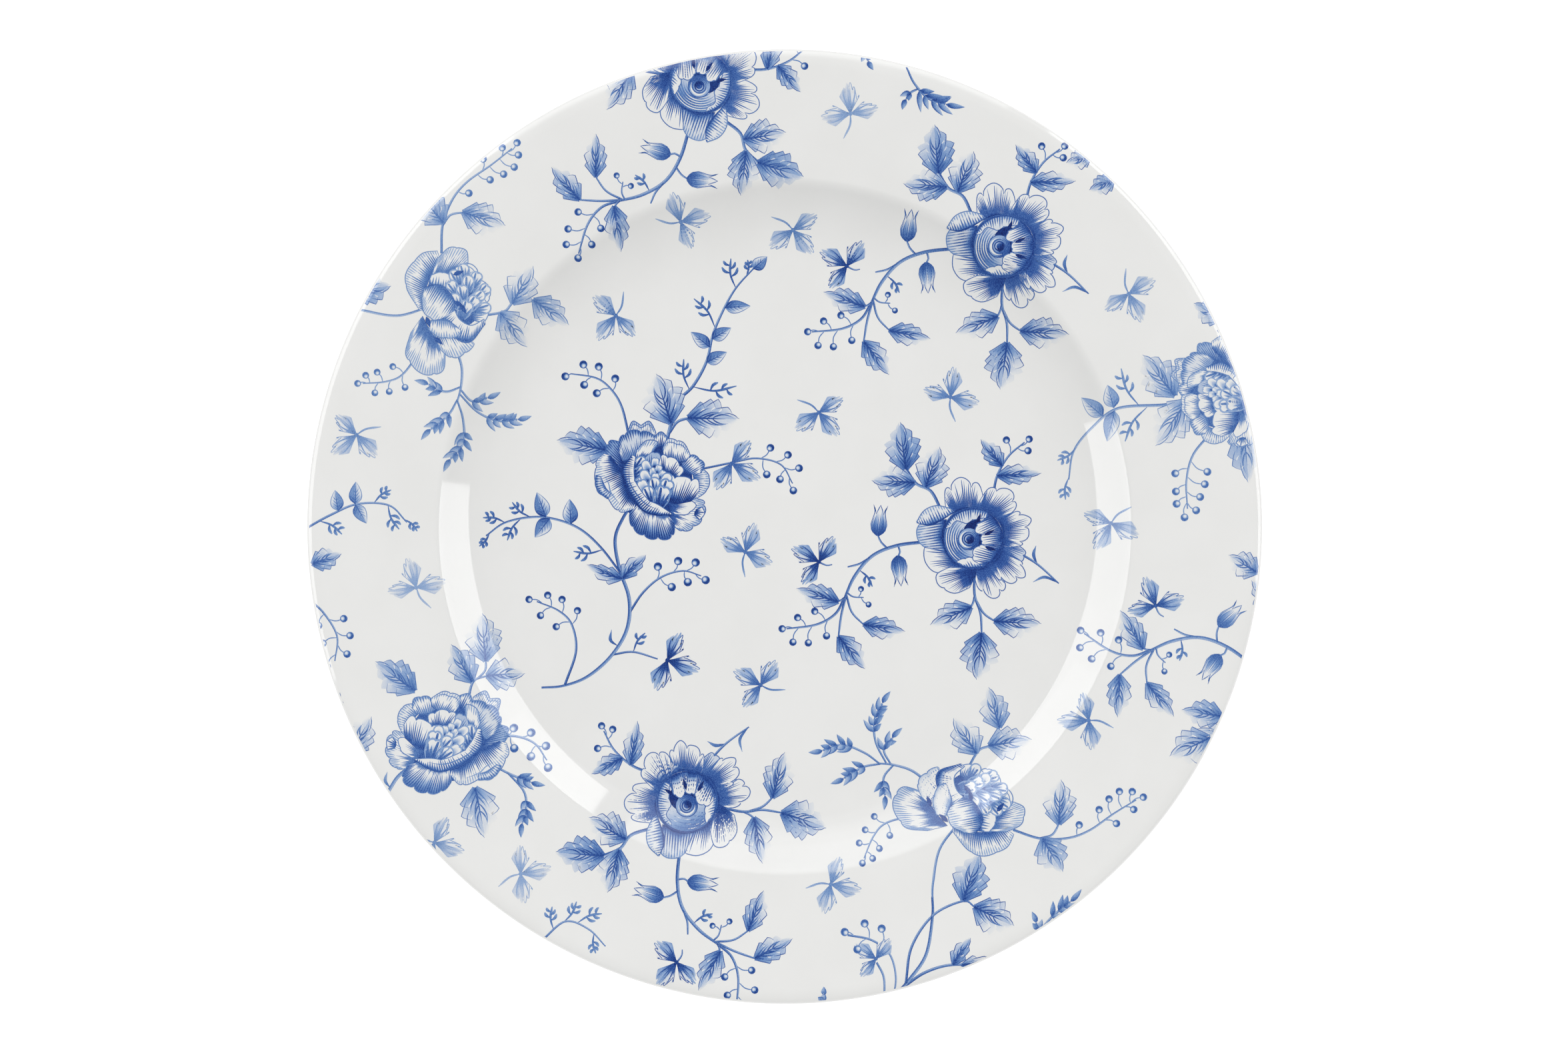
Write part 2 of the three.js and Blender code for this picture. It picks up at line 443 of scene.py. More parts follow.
def small_leaf(pen, x, y, turn, length, width, flip=False):
    """A smooth-edged small leaf with a dark vein and one half darker than the other."""
    p = pen.at(x, y, turn, flip=flip, level=1)
    shape = leaf_shape(length, width, belly=0.66)

    def tone(s, t):
        return 0.3 + 0.26 * (s < 0) + 0.34 * (1 - fade(t, 0, 0.5)) - 0.2 * fade(s, 0.1, 0.7)

    p.wash(shape, tone, 7, 9)
    t = np.linspace(0, 0.85, 10)
    p.line(shape(0 * t, t), (0.44, 0.2), (0.9, 0.66), 0.6)
    start = np.linspace(0.04, 0.5, 4)[:, None]
    run = np.linspace(0, 1, 4)[None]
    for side in (-1, 1):
        p.lines(shape(side * 0.75 * run, start + 0.22 * run), (0.26, 0.14), (0.8, 0.45), 0.3)
    edge = np.linspace(0.02, 0.98, 12)
    p.line(shape(-1 + 0 * edge, edge), 0.24, (0.85, 0.66), 0.6)
    p.line(shape(1 + 0 * edge, edge), 0.2, (0.7, 0.5), 0.6)


def leaflet(pen, x, y, turn, length, tone):
    """One narrow pointed leaf of a fern."""
    p = pen.at(x, y, turn, level=1)
    shape = leaf_shape(length, 1.4, 0.25, belly=0.7)
    p.wash(shape, lambda s, t: tone - 0.16 * s + 0.36 * (1 - fade(t, 0, 0.6)), 5, 6)
    t = np.linspace(0, 0.95, 7)
    p.line(shape(-1 + 0 * t, t), (0.5, 0.22), (0.95, 0.72), 0.5)


def berry(pen, x, y, radius, turn):
    """A round berry with a dark rim and a light spot off its middle."""
    p = pen.at(x, y, turn, level=1)
    p.disc(radius, lambda s, t: 0.08 + 0.86 * fade(np.hypot(s - 0.35, t - 0.1), 0.25, 1.0), 8)
    p.line(circle(radius * 0.95, -20, 340, 21), (0.2, 0.3, 0.42, 0.3, 0.2), (0.66, 0.8, 0.95, 0.8, 0.66), 0.4,
           ends=(1, 1))


def berries(pen, twig, spots, radius=0.95, back=2.2):
    """Berries at the spots, each on a thin stalk that leaves the twig a little back from its nearest point."""
    path = curve(twig, PATH_SPACING)
    for x, y in spots:
        nearest = np.argmin(np.hypot(path[:, 0] - x, path[:, 1] - y))
        start = path[max(0, nearest - int(back / PATH_SPACING))]
        away = np.array([x, y]) - start
        middle = start + away / 2 + 0.14 * np.array([away[1], -away[0]])
        pen.line(curve([start, middle, (x, y)], 0.5), (0.34, 0.28), (0.54, 0.62), 0.2)
        berry(pen, x, y, radius, turn=math.degrees(math.atan2(away[1], away[0])) + 160)


def berry_twig(pen, twig, width, spots, radius=0.95, back=2.2):
    """A stem with berries along it, and nothing drawn between the two."""
    pen.stem(twig, width)
    berries(pen, twig, spots, radius, back)


def spot(path, share):
    """The point at a share of the way along a curve through the path, and the heading there in degrees."""
    p = curve(path, PATH_SPACING)
    k = min(int(share * (len(p) - 1)), len(p) - 2)
    ahead = p[k + 1] - p[k]
    return p[k][0], p[k][1], math.degrees(math.atan2(ahead[1], ahead[0]))


def small_leaves(pen, path, width, rows):
    """Small leaves on a stem, from rows of a share of the way along, a lean, a length and whether mirrored."""
    for share, lean, length, flip in rows:
        x, y, heading = spot(path, share)
        small_leaf(pen, x, y, heading + lean, length, width, flip)


def shoots(pen, path, rows):
    """Twiglets on a stem, from the same kind of rows."""
    for share, lean, length, flip in rows:
        x, y, heading = spot(path, share)
        twiglet(pen, x, y, heading + lean, length, 4, flip)


def bud(pen, x, y, turn):
    """A closed bell-shaped bud, 8.8 mm long, with a dark base and pale flared tips."""
    p = pen.at(x, y, turn, level=1)
    shape = cup_shape(8.8, 4.7)
    across = np.linspace(-1, 1, 13)

    def tone(s, t):
        return 0.05 + 0.66 * (1 - fade(t, 0.1, 0.8 - 0.25 * np.cos(7 * s))) + 0.1 * (s < -0.3)

    p.wash(shape, tone, across, 11)
    strokes = fan(shape, np.linspace(-0.86, 0.86, 8), lambda s: 0.62 + 0.16 * np.cos(9 * s))
    p.lines(strokes, (0.36, 0.14), (0.92, 0.5), 0.3)
    p.line(around(shape, np.linspace(0, 1, 12), across), 0.24, 0.74, 0.6)


def twiglet(pen, x, y, turn, length, fingers, flip=False):
    """A little bare twig with blunt side fingers along its outer part."""
    p = pen.at(x, y, turn, flip=flip)
    middle = (0.5 * length, 0.1 * length)
    p.line(curve([(0, 0), middle, (length, 0)], 0.6), (0.42, 0.6, 0.9), (0.8, 0.6), 0.2)
    for i in range(fingers):
        share = 0.4 + 0.5 * i / fingers
        base = (length * share, 0.4 * length * share * (1 - share))
        side = 1 if i % 2 else -1
        reach = min(0.34 * length, 2.9) * (1 - 0.4 * i / fingers)
        tip = (base[0] + reach * 0.8, base[1] + side * reach * 0.8)
        middle = (base[0] + reach * 0.3, base[1] + side * reach * 0.56)
        p.line(curve([base, middle, tip], 0.5), (0.36, 0.85, 0.8), (0.8, 0.7, 0.5), 0.3, ends=(0.7, 0.4))


def fern(pen, points, pairs, length=4.2):
    """A thin stem that ends in pairs of narrow leaves and one at its tip."""
    spacing = 0.5
    p = curve(points, spacing)
    pen.stem(points, (0.44, 0.6))
    along = np.gradient(p, axis=0)
    for i in range(pairs + 1):
        k = max(len(p) - 1 - round(FERN_PITCH * i / spacing), 0)
        heading = math.degrees(math.atan2(along[k, 1], along[k, 0]))
        for side in (-1, 1) if i else (0.2,):
            scale = 0.92 + 0.2 * math.sin(2.4 * i + 2 * side)
            leaflet(pen, *p[k], heading + side * (24 + 4 * i), length * scale, 0.5 + 0.1 * side)


def trefoil(pen, x=0, y=0, turn=0, size=1.0, strength=1.0, stalk=True):
    """Three toothed leaflets that meet at a dark point, on a short bent stalk."""
    p = pen.at(x, y, turn, size, strength=strength)
    if stalk:
        p.line(curve([(0, 0), (-2.8, -1.5), (-5.4, -4.8)], 0.6), (0.5, 0.6), (0.85, 0.5), 0.2)
    for i, (heading, length, width) in enumerate([(22, 8.8, 5.6), (104, 8.0, 5.0), (-72, 8.4, 5.8)]):
        wedge(p.at(0, 0, heading, flip=i == 1, level=i), length, width, teeth=4 + i % 2)
    p.at(0, 0, level=3).disc(0.6, 0.8, 5)


def wedge(p, length, width, teeth):
    """One leaflet of a trefoil: one half inked, the other pale, and dark strokes from its stalk end."""
    shape = wedge_shape(length, width, teeth)

    def tone(s, t):
        inked = 0.4 - 0.3 * fade(s, -0.1, 0.5) * fade(t, 0.15, 0.4) + 0.4 * (1 - fade(t, 0.05, 0.5))
        return inked + 0.1 * np.cos(12 * s) * fade(t, 0.3, 0.8) - 0.14 * fade(t, 0.7, 1)

    p.wash(shape, tone, 8 * teeth + 1, 9)
    strokes = fan(shape, np.linspace(-0.84, 0.8, 8), lambda s: 0.62 + 0.26 * np.cos(11 * s))
    p.lines(strokes, (0.3, 0.4, 0.12), (0.95, 0.6), 0.3)
    t = np.linspace(0.12, 1, 12)
    end = np.linspace(1, -0.1, 24)
    p.line(np.vstack([shape(1 + 0 * t, t), shape(end, 1 + 0 * end)[1:]]), 0.22, (0.86, 0.7, 0.4), 0.6)


# ---------------------------------------------------------------- Flowers

def petal(p, base, rim, lobes=1, depth=0.1, dark=0.7, reach=0.6, tip=0.0, light=0.03, edge=0.7, level=0,
          doubled=False, tip_reach=0.26, wash=0.72, strokes=True):
    """A petal between a base curve and a rim curve, each through a few points, shaded by strokes that leave
    the base and thin out at reach, and by others that come in from the rim by tip_reach if tip is set. light
    is its tone between them, and wash is the share of the strokes' length that is inked evenly. doubled draws
    a second line inside the rim."""
    pen = p.at(0, 0, level=level)
    tall = np.linalg.norm(np.mean(rim, axis=0) - np.mean(base, axis=0))
    base, rim = curve(base, PATH_SPACING), curve(rim, PATH_SPACING)
    wide = max(np.linalg.norm(np.diff(path, axis=0), axis=1).sum() for path in (base, rim))
    shape = petal_shape(base, rim, lobes, depth)

    def tone(s, t):
        uneven = 0.1 * np.sin(5 * s + lobes) + 0.05 * np.sin(13 * s)
        foot = 0.36 * (1 - fade(t, 0.02, 0.34 + uneven))
        ground = dark * (1 - fade(t, -0.05, wash * reach + uneven) + foot)
        far = 0.94 * tip * fade(t, 1 - tip_reach + uneven, 1.05)
        return np.maximum(np.maximum(ground, far), light)

    across = lobes * math.ceil(max(5, wide / PETAL_CELL_ACROSS / lobes)) + 1
    pen.wash(shape, tone, across, max(6, min(10, int(tall / PETAL_CELL_ALONG))))
    s = np.linspace(-0.94, 0.94, max(4, int(wide / STROKE_PITCH)))[:, None]
    run = np.linspace(0, 1, 7)[None]
    if strokes:
        uneven = 0.22 * np.sin(7 * s + 2 * lobes) + 0.2 * np.sin(23 * s) + 0.36 * (np.sin(61 * s) > 0.6)
        t = np.clip(0.01 + reach * (1.12 + uneven) * run, 0, 0.93)
        pen.lines(shape(s + 0 * run, t), (0.46, 0.36, 0.12), (dark + 0.2, 0.6), 0.3)
    if tip:
        inset = tip_reach * (1.15 + 0.3 * np.sin(9 * s + lobes) + 0.2 * np.sin(31 * s))
        pen.lines(shape(s + 0 * run, 0.985 - inset * run), (0.4, 0.32, 0.12), (tip + 0.2, 0.55), 0.35)
    rim_s = np.linspace(-1, 1, 14 * lobes + 1)
    pen.line(around(shape, np.linspace(0.1, 1, 7), rim_s), 0.27, edge, 0.8)
    if strokes:
        pen.line(shape(s[:, 0], 0.03 + 0 * s[:, 0]), (0.2, 0.6, 0.2), dark + 0.3, 0.7)
    if doubled:
        inner = rim_s[3:-3]
        pen.line(shape(inner, 0.84 + 0 * inner), 0.24, edge, 0.85)


def curls(p, rows, dark, level):
    """The small rounded petals of a flower's heart, each over the one before, dark at their feet. A petal of
    size 1 is 2.2 mm wide and 3.1 mm tall."""
    for i, (x, y, turn, size) in enumerate(rows):
        rim = [(-1.1, 0.2), (-0.9, 1.6), (0, 2.1), (0.9, 1.6), (1.1, 0.2)]
        petal(p.at(x, y, turn, size), [(-0.6, -1.0), (0.6, -1.0)], rim, 1 + i % 2, 0.16, dark, 0.9, edge=0.5,
              level=level + 0.37 * i, wash=1.0, strokes=size > 1.45)


# After a petal's two curves come its lobes, their depth, dark, reach, tip and light, in that order.

def rose(pen):
    """An open rose, 32 mm across: broad petals round a ball-shaped heart."""
    p = pen.at(0, 0, level=2)
    p.at(1, -0.5, level=-1).disc(9.2, 0.66, 13)
    petal(p, [(-6.6, 5), (-7.6, 0.6), (-6.8, -4.4)], [(-15, 3.6), (-15.4, 1.4), (-14.4, -1.8), (-11.8, -4)],
          dark=0.72, reach=0.72, tip=0.3, light=0.14, edge=0.55, level=1)
    petal(p, [(-6.2, -4.2), (-4.4, -7.2), (-1, -9)], [(-13.6, -3), (-13, -6.8), (-10.8, -9.8),
          (-7.6, -10.8)], dark=0.75, reach=0.58, level=2)
    petal(p, [(-4.4, 7), (-8.6, 4.4), (-11.8, 3.2), (-15.1, 3.8)], [(-5.8, 8.2), (-9.6, 8.9), (-13.2, 7.4),
          (-15.3, 4.2)], dark=0.66, reach=0.55, tip=0.16, light=0.08, edge=0.6, level=3)
    petal(p, [(9.4, -1.4), (9.4, -4.6)], [(13.6, -2), (16.2, -4.8), (15, -7), (12, -6.8)], 2, 0.2, 0.6, 0.8,
          light=0.16, level=0)
    petal(p, [(-5.6, 6.2), (-2, 7.8), (2.8, 7.8)], [(-7.4, 8.6), (-6.6, 15), (-2.2, 17), (1.8, 16),
          (4.4, 11)], 3, 0.4, 0.7, 0.66, level=1, wash=0.5)
    petal(p, [(2.2, 7.8), (5.2, 6.8), (7.8, 4.8)], [(3.2, 11.4), (5.8, 14), (9.6, 14.2), (13.2, 11.8),
          (13.2, 8.4), (10.8, 5.6)], 3, 0.28, 0.7, 0.7, level=2, wash=0.5)
    petal(p, [(7.4, 5.4), (9.2, 2.4), (9.5, -2.6)], [(10.6, 6.4), (14.4, 7.2), (17.6, 4.8), (17, 1.4),
          (15.8, -2), (11.2, -3.2)], 4, 0.3, 0.72, 0.66, level=3, wash=0.5)
    petal(p, [(9.2, -3.2), (8, -6), (5.4, -8)], [(12.4, -5.4), (15.4, -8), (15.6, -11.8), (12, -13.4),
          (8.6, -12.6), (6.4, -9.8)], 4, 0.28, 0.72, 0.66, level=4, wash=0.5)
    petal(p, [(6, -7.6), (3.4, -9), (1.2, -9.2)], [(8.8, -11.2), (10.2, -14), (9, -17.2), (5.2, -17.4),
          (2.4, -14.8), (1.2, -11.6)], 3, 0.3, 0.7, 0.64, level=3, wash=0.5)
    petal(p, [(2.2, -8.8), (1.5, -11.4)], [(-6.8, -8.9), (-9.6, -11), (-8.8, -14.4), (-4.6, -16.2),
          (-0.2, -14.8)], 2, 0.1, 0.9, 0.74, level=5)
    rose_heart(p.at(1, -0.5, level=7))


def rose_heart(p):
    """The rose's closed heart: petals wrapped round an eye, with dark gaps where they part on the right."""
    radius = 8.7
    p.disc(radius, lambda s, t: 0.16 + 0.5 * fade(-s - 0.5 * t, 0.1, 1.1), 15)
    for i in range(8):
        start, stop = 112 + 12 * math.sin(3 * i) + 3 * i, 306 - 7 * i + 16 * math.sin(2 * i)
        p.line(circle(radius - 0.6 - 0.66 * i, start, stop, 24), (0.14, 0.56, 0.14), (0.5, 0.74, 0.5), 0.3)
        p.line(circle(radius - 0.92 - 0.66 * i, start + 24, stop - 60, 20), (0.1, 0.3, 0.1), (0.1, 0.02),
               0.35)
    petal(p, circle(8.6, 164, 42, 9), [(-8, 2.9), (-6.6, 3.2), (-4.8, 5), (-2.2, 4.2), (0.4, 5.3),
          (3.4, 5.7), (5.6, 6)], 5, 0.1, 0.62, 0.62, light=0.12, level=1)
    p.at(0.9, 1.4, level=2).disc(3.9, 0.97, 8)
    petal(p, circle(8.5, -62, -112, 6), [(1.8, -7.4), (-0.4, -5.5), (-2.8, -5.7), (-5, -6.6)], 3, 0.12,
          0.55, 0.5, level=3)
    petal(p, circle(8.4, 60, 10, 6), [(3.4, 5.2), (0.9, 4), (0.5, 1.9), (2.4, 0.8), (5, 1.4)], 3, 0.14,
          0.76, 0.84, level=4)
    petal(p, circle(8.5, 22, -22, 6), [(4.8, 2), (2.4, 0.9), (1.9, -1.1), (3.2, -2.2), (5.6, -2.8)], 2,
          0.14, 0.78, 0.8, level=5)
    petal(p, circle(8.5, -8, -66, 6), [(4.8, -1.7), (1.4, -2), (-0.3, -3.8), (-0.2, -6), (1.6, -7.4)], 3,
          0.12, 0.76, 0.82, level=6)
    for x, y, heading, length in ((3, 0.9, 24, 3.4), (3.2, -2.4, -20, 3.6), (1, 4.6, 62, 2.6)):
        p.at(x, y, heading, level=7).wash(leaf_shape(length, 1, 0.2), 1, 5, 6)
    p.line(circle(radius, 0, 360, 61), (0.36, 0.34, 0.62, 0.42, 0.36), (0.95, 0.8, 1, 0.86, 0.95), 7.5,
           ends=(1, 1))
    eye = p.at(-1.3, -0.2, level=3)
    eye.disc(3.1, lambda s, t: 0.4 + 0.4 * fade(s - 0.6 * t, -0.4, 1), 8)
    eye.line(circle(2.35, 95, 290), (0.15, 0.7, 0.15), (0.1, 0.02), 0.5)
    for r, start, stop, width, tone in ((3.1, 70, 330, 0.36, 0.84), (2.75, -50, 60, 0.34, 0.88),
                                        (2.3, -70, 70, 0.3, 0.84), (1.9, 40, 300, 0.4, 0.86),
                                        (1.85, -50, 20, 0.3, 0.9)):
        eye.line(circle(r, start, stop, 25), (0.5 * width, width, 0.5 * width), tone, 0.7, ends=(0.6, 0.6))
    pupil = eye.at(0.1, 0.05, level=1)
    pupil.wash(disc_shape(1.45), lambda s, t: 0.72 + 0.28 * fade(s - t, -0.9, 0.6), 9, np.linspace(-1, 1, 8))
    eye.line(circle(0.95, 60, 250), (0.1, 0.34, 0.1), (0.3, 0.2), 1.3)
    eye.line(circle(1.35, -30, 230), 0.26, 0.98, 1.5)


def peony(pen):
    """A full peony, 33 mm across: a ring of broad petals, wrapping ones inside it and a heart of small ones."""
    p = pen.at(0, 0, level=2)
    p.at(0, 0, level=-1).disc(11.5, 0.86, 13)
    petal(p, [(-6.2, 11), (0.2, 11)], [(-7.2, 13.4), (-5.6, 16.8), (-3.2, 16), (-0.8, 16.8), (1.2, 13.8)],
          2, 0.12, 0.5, 0.6, 0.3, level=0, doubled=True)
    petal(p, [(0.6, 8.6), (4, 9)], [(0.4, 12.4), (2.6, 13.8), (5, 11.6)], dark=0.9, reach=0.7, tip=0.6, level=0)
    petal(p, [(-8.4, 3.2), (-7.2, 7)], [(-13.4, 6.6), (-12.6, 11), (-9.4, 11.2)], 2, 0.14, 0.9, 0.9, 0.7,
          0.4, level=1)
    petal(p, [(-8.4, 5.4), (-5, 6.2), (-0.8, 9.4)], [(-10, 9.4), (-8.4, 13.2), (-3.8, 14.4), (1.2, 12.8)],
          3, 0.15, 0.5, 0.5, 0.82, 0.16, level=2)
    petal(p, [(11.2, 2.6), (12, -0.6), (11, -4.4)], [(14.2, 3.6), (16.4, 1), (15.8, -2.8), (12.8, -5.4)], 3,
          0.07, 0.5, 0.6, 0.2, 0.1, level=0)
    petal(p, [(8.2, 5.2), (9.2, 2.8), (12.2, 1.2)], [(9.6, 6.6), (12.2, 7.1), (14.9, 4.8), (14.2, 2.2)], 2,
          0.1, 0.55, 0.5, 0.7, level=1)
    petal(p, [(3.4, 6.2), (6.8, 5), (9.8, 5.2)], [(3, 9.4), (4.6, 11.8), (8.6, 11), (11, 7.4)], 2, 0.12,
          0.66, 0.42, 0.12, level=2, doubled=True)
    petal(p, [(4.4, -7.4), (5, -9.4), (4.6, -11.8)], [(12.8, -5), (15.3, -6.6), (14.8, -10.6),
          (12.2, -13.6), (8.8, -14.8), (5.8, -13)], 5, 0.14, 0.7, 0.45, 0.3, level=1)
    petal(p, [(12.6, -8.4), (12, -10)], [(14.4, -7.6), (15, -9.6), (13.6, -11.6)], dark=0.85, reach=0.9,
          level=2)
    petal(p, [(4.2, -6.8), (5, -8.8)], [(11.2, -5.6), (12.6, -7.4), (10.2, -9.8), (6.8, -9.9)], 2, 0.08,
          0.75, 0.5, level=2)
    petal(p, [(-11.8, 7), (-8.6, 2.2), (-7, -3), (-4.8, -6.8)], [(-14, 7.6), (-16.2, 4.6), (-16, -2.6),
          (-12.6, -5.6), (-9.6, -9.2), (-5.2, -8.4)], 5, 0.12, 0.9, 0.54, 0.12, level=2)
    petal(p, [(-14.6, 1), (-13.4, -2.2), (-11.6, -3.8)], [(-16.2, 1.4), (-16, -2.4), (-12.8, -5.6)], 2,
          0.12, 0.4, 0.5, 0.8, 0.12, tip_reach=0.5, level=2.9)
    p.line(curve([(-13.6, 1.2), (-12.4, -1.2), (-11.8, -3.6), (-9.4, -6.8)], 0.5), (0.2, 0.34, 0.2), 0.5, 4.2)
    petal(p, [(-3.8, -6.6), (-0.6, -8.4), (4.4, -10)], [(-6.8, -10), (-5.8, -13.6), (-2.6, -16.2),
          (1.6, -17.2), (5.8, -16.4), (6.6, -12.4)], 5, 0.13, 0.6, 0.24, 0.88, tip_reach=0.62, level=3)
    petal(p, [(2.4, -5.2), (6.4, -6.9), (11.2, -6.2)], [(3.2, -0.8), (5.4, 1.6), (8.8, 1), (12.8, 0.4),
          (13.8, -3)], 3, 0.2, 0.98, 0.7, level=5)
    petal(p, [(2.6, 1.6), (6.4, 0.4)], [(1.8, 5.2), (3.2, 7.3), (6.8, 6), (9, 3), (7.9, 1)], 3, 0.2, 0.9,
          0.66, level=4)
    petal(p, [(-4.6, 5.4), (-2.6, 6)], [(-4.6, 8.4), (-1.6, 11.3), (1.6, 10.8), (0.4, 8.4)], 1, 0, 0.7,
          0.34, 0.2, level=4)
    petal(p, [(-1.6, 3), (1.8, 4.4)], [(-2.2, 6.4), (-0.2, 8), (2, 7.6), (2.6, 5.6)], 2, 0.1, 0.9, 0.6,
          light=0.3, level=3)
    heart = [(-4.2, 4, -40, 1.5), (-4.4, 1.4, -62, 1.7), (-3.8, -1.4, -54, 1.7), (0.8, 4.4, -6, 1),
             (-1.4, 3.2, 20, 1.2), (1.6, 2.6, -20, 0.9), (0.2, 1.8, 6, 0.85), (2.6, 1, -24, 0.95),
             (-1.6, 0.2, 26, 1.35), (0.9, 0, -4, 1), (3.6, -0.8, -26, 1.4), (-2.2, -2.6, 24, 1.4),
             (0.8, -2.6, 4, 1.6), (3.4, -3.4, -24, 1.9), (-0.6, -5.2, 18, 1.7), (2.4, -5.8, -16, 2.1)]
    curls(p, heart, 0.84, level=6)
    petal(p, [(-5.8, 7.2), (-8.6, 3.2), (-8, -1), (-5.6, -5.4), (-2.4, -9), (1.4, -10.2), (5.6, -10)],
          [(-4.6, 6.6), (-5.2, 3), (-4.4, -0.8), (-1.8, -4.8), (2, -7.2), (5.4, -9.4)], 3, 0.16, 0.92, 0.7,
          level=13)
    p.line(curve([(-6.6, 3.4), (-6.4, -0.6), (-4.2, -4.4), (-1.6, -7), (2, -8.6)], 0.5), (0.2, 0.42, 0.2),
           0.66, 14.2)


def side_peony(pen):
    """A peony seen from the side, 23 mm wide and 35 mm tall: a globe of petals over two hanging ones."""
    p = pen.at(0, 0, level=2)
    p.at(0.5, 0.5, level=-1).disc(8, 0.92, 11)
    petal(p, [(-3.6, 11.8), (-6.4, 6.8), (-7.8, 2.6), (-8.2, -2.8)], [(-4.4, 14.4), (-8.8, 13.4),
          (-12.8, 8.8), (-13.2, 4.2), (-9.8, -2)], 3, 0.06, 0.85, 0.62, 0.2, level=0)
    petal(p, [(-8.6, -4), (-6.4, -8.2), (-3.6, -11.8)], [(-12.2, -9.2), (-13.4, -15.2), (-10.6, -19.2),
          (-6.6, -21), (-3, -19.4), (-2.2, -14.2)], 3, 0.08, 0.95, 0.42, 0.3, level=1)
    petal(p, [(-5.8, -8.4), (-2.8, -7), (0.8, -7.8)], [(-3.6, -13.8), (-0.4, -15.9), (3, -14.8),
          (6.2, -12)], 3, 0.08, 0.8, 0.5, 0.3, level=2)
    petal(p, [(-7.2, 4), (-3.6, 6.2), (0.2, 8.2)], [(-4.2, 12.4), (-0.6, 15.4), (3.6, 14.6), (4.4, 11)], 2,
          0.05, 0.85, 0.6, 0.2, level=1)
    petal(p, [(0.4, 7.2), (3.4, 4.6)], [(0.8, 9.8), (4.4, 11), (7.6, 8.2), (7.6, 5.2)], 3, 0.1, 0.6, 0.5,
          level=2, doubled=True)
    petal(p, [(4.6, 4), (6.4, 0.2)], [(7, 6.6), (9.8, 4.8), (10.4, 1.4), (8.4, -1.2)], 3, 0.1, 0.6, 0.5,
          level=3)
    petal(p, [(4.6, -1.6), (5.6, -5.2)], [(9, 1), (10, -2.6), (8.6, -6)], 2, 0.1, 0.8, 0.6, level=4)
    petal(p, [(-6.8, 5.4), (-3, 3.6), (-1, 5.2)], [(-6, 7.6), (-3, 8.4), (-0.2, 7.2)], 2, 0.08, 0.8, 0.5,
          level=4)
    heart = [(3.2, 7.6, 8, 1.5), (6, 5.6, -22, 1.5), (1, 6, 22, 1.5), (7.8, 2.6, -48, 1.5),
             (4, 4.2, -8, 1.6), (0.4, 3.2, 30, 1.5), (6.2, 0.8, -52, 1.5), (2.6, 1.8, 4, 1.5),
             (7.4, -2, -78, 1.5), (4.6, -1.2, -40, 1.7), (1.2, -0.6, 26, 1.5), (2.8, -3, -26, 1.8)]
    curls(p, heart, 0.72, level=5)
    for x, y, turn in ((0, 7.6, 20), (0.2, 0.2, -30), (2, -0.6, -60), (-7.6, -4.2, -70), (-5.4, -10, -40)):
        p.at(x, y, turn, level=15).wash(leaf_shape(3.2, 1.3), 1, 5, 6)
    petal(p, [(-7.8, 4.2), (-3.4, 4.8), (0.2, 1), (0.4, -3.2)], [(-8.8, 1), (-8, -3.4), (-4.2, -5.8),
          (-0.4, -5.4)], 2, 0.05, 0.85, 0.55, 0.2, level=11)
    petal(p, [(-3.4, -4.8), (-0.6, -9.4), (4.4, -11.4), (9, -6.2)], [(0.4, -2.4), (1.8, -5), (5, -6.6),
          (8.6, -4.8)], 1, 0, 0.95, 0.62, level=12)
    petal(p, [(-6.4, -5.2), (-2, -5), (0.8, -6.8)], [(-7, -8), (-3.4, -10.2), (0.4, -10), (2.4, -8.4)], 2,
          0.08, 0.6, 0.4, 0.4, level=13)


# ---------------------------------------------------------------- Sprays

# A leaf's numbers are its x, y, turn, length and width, and the short list after a path is its width along it.

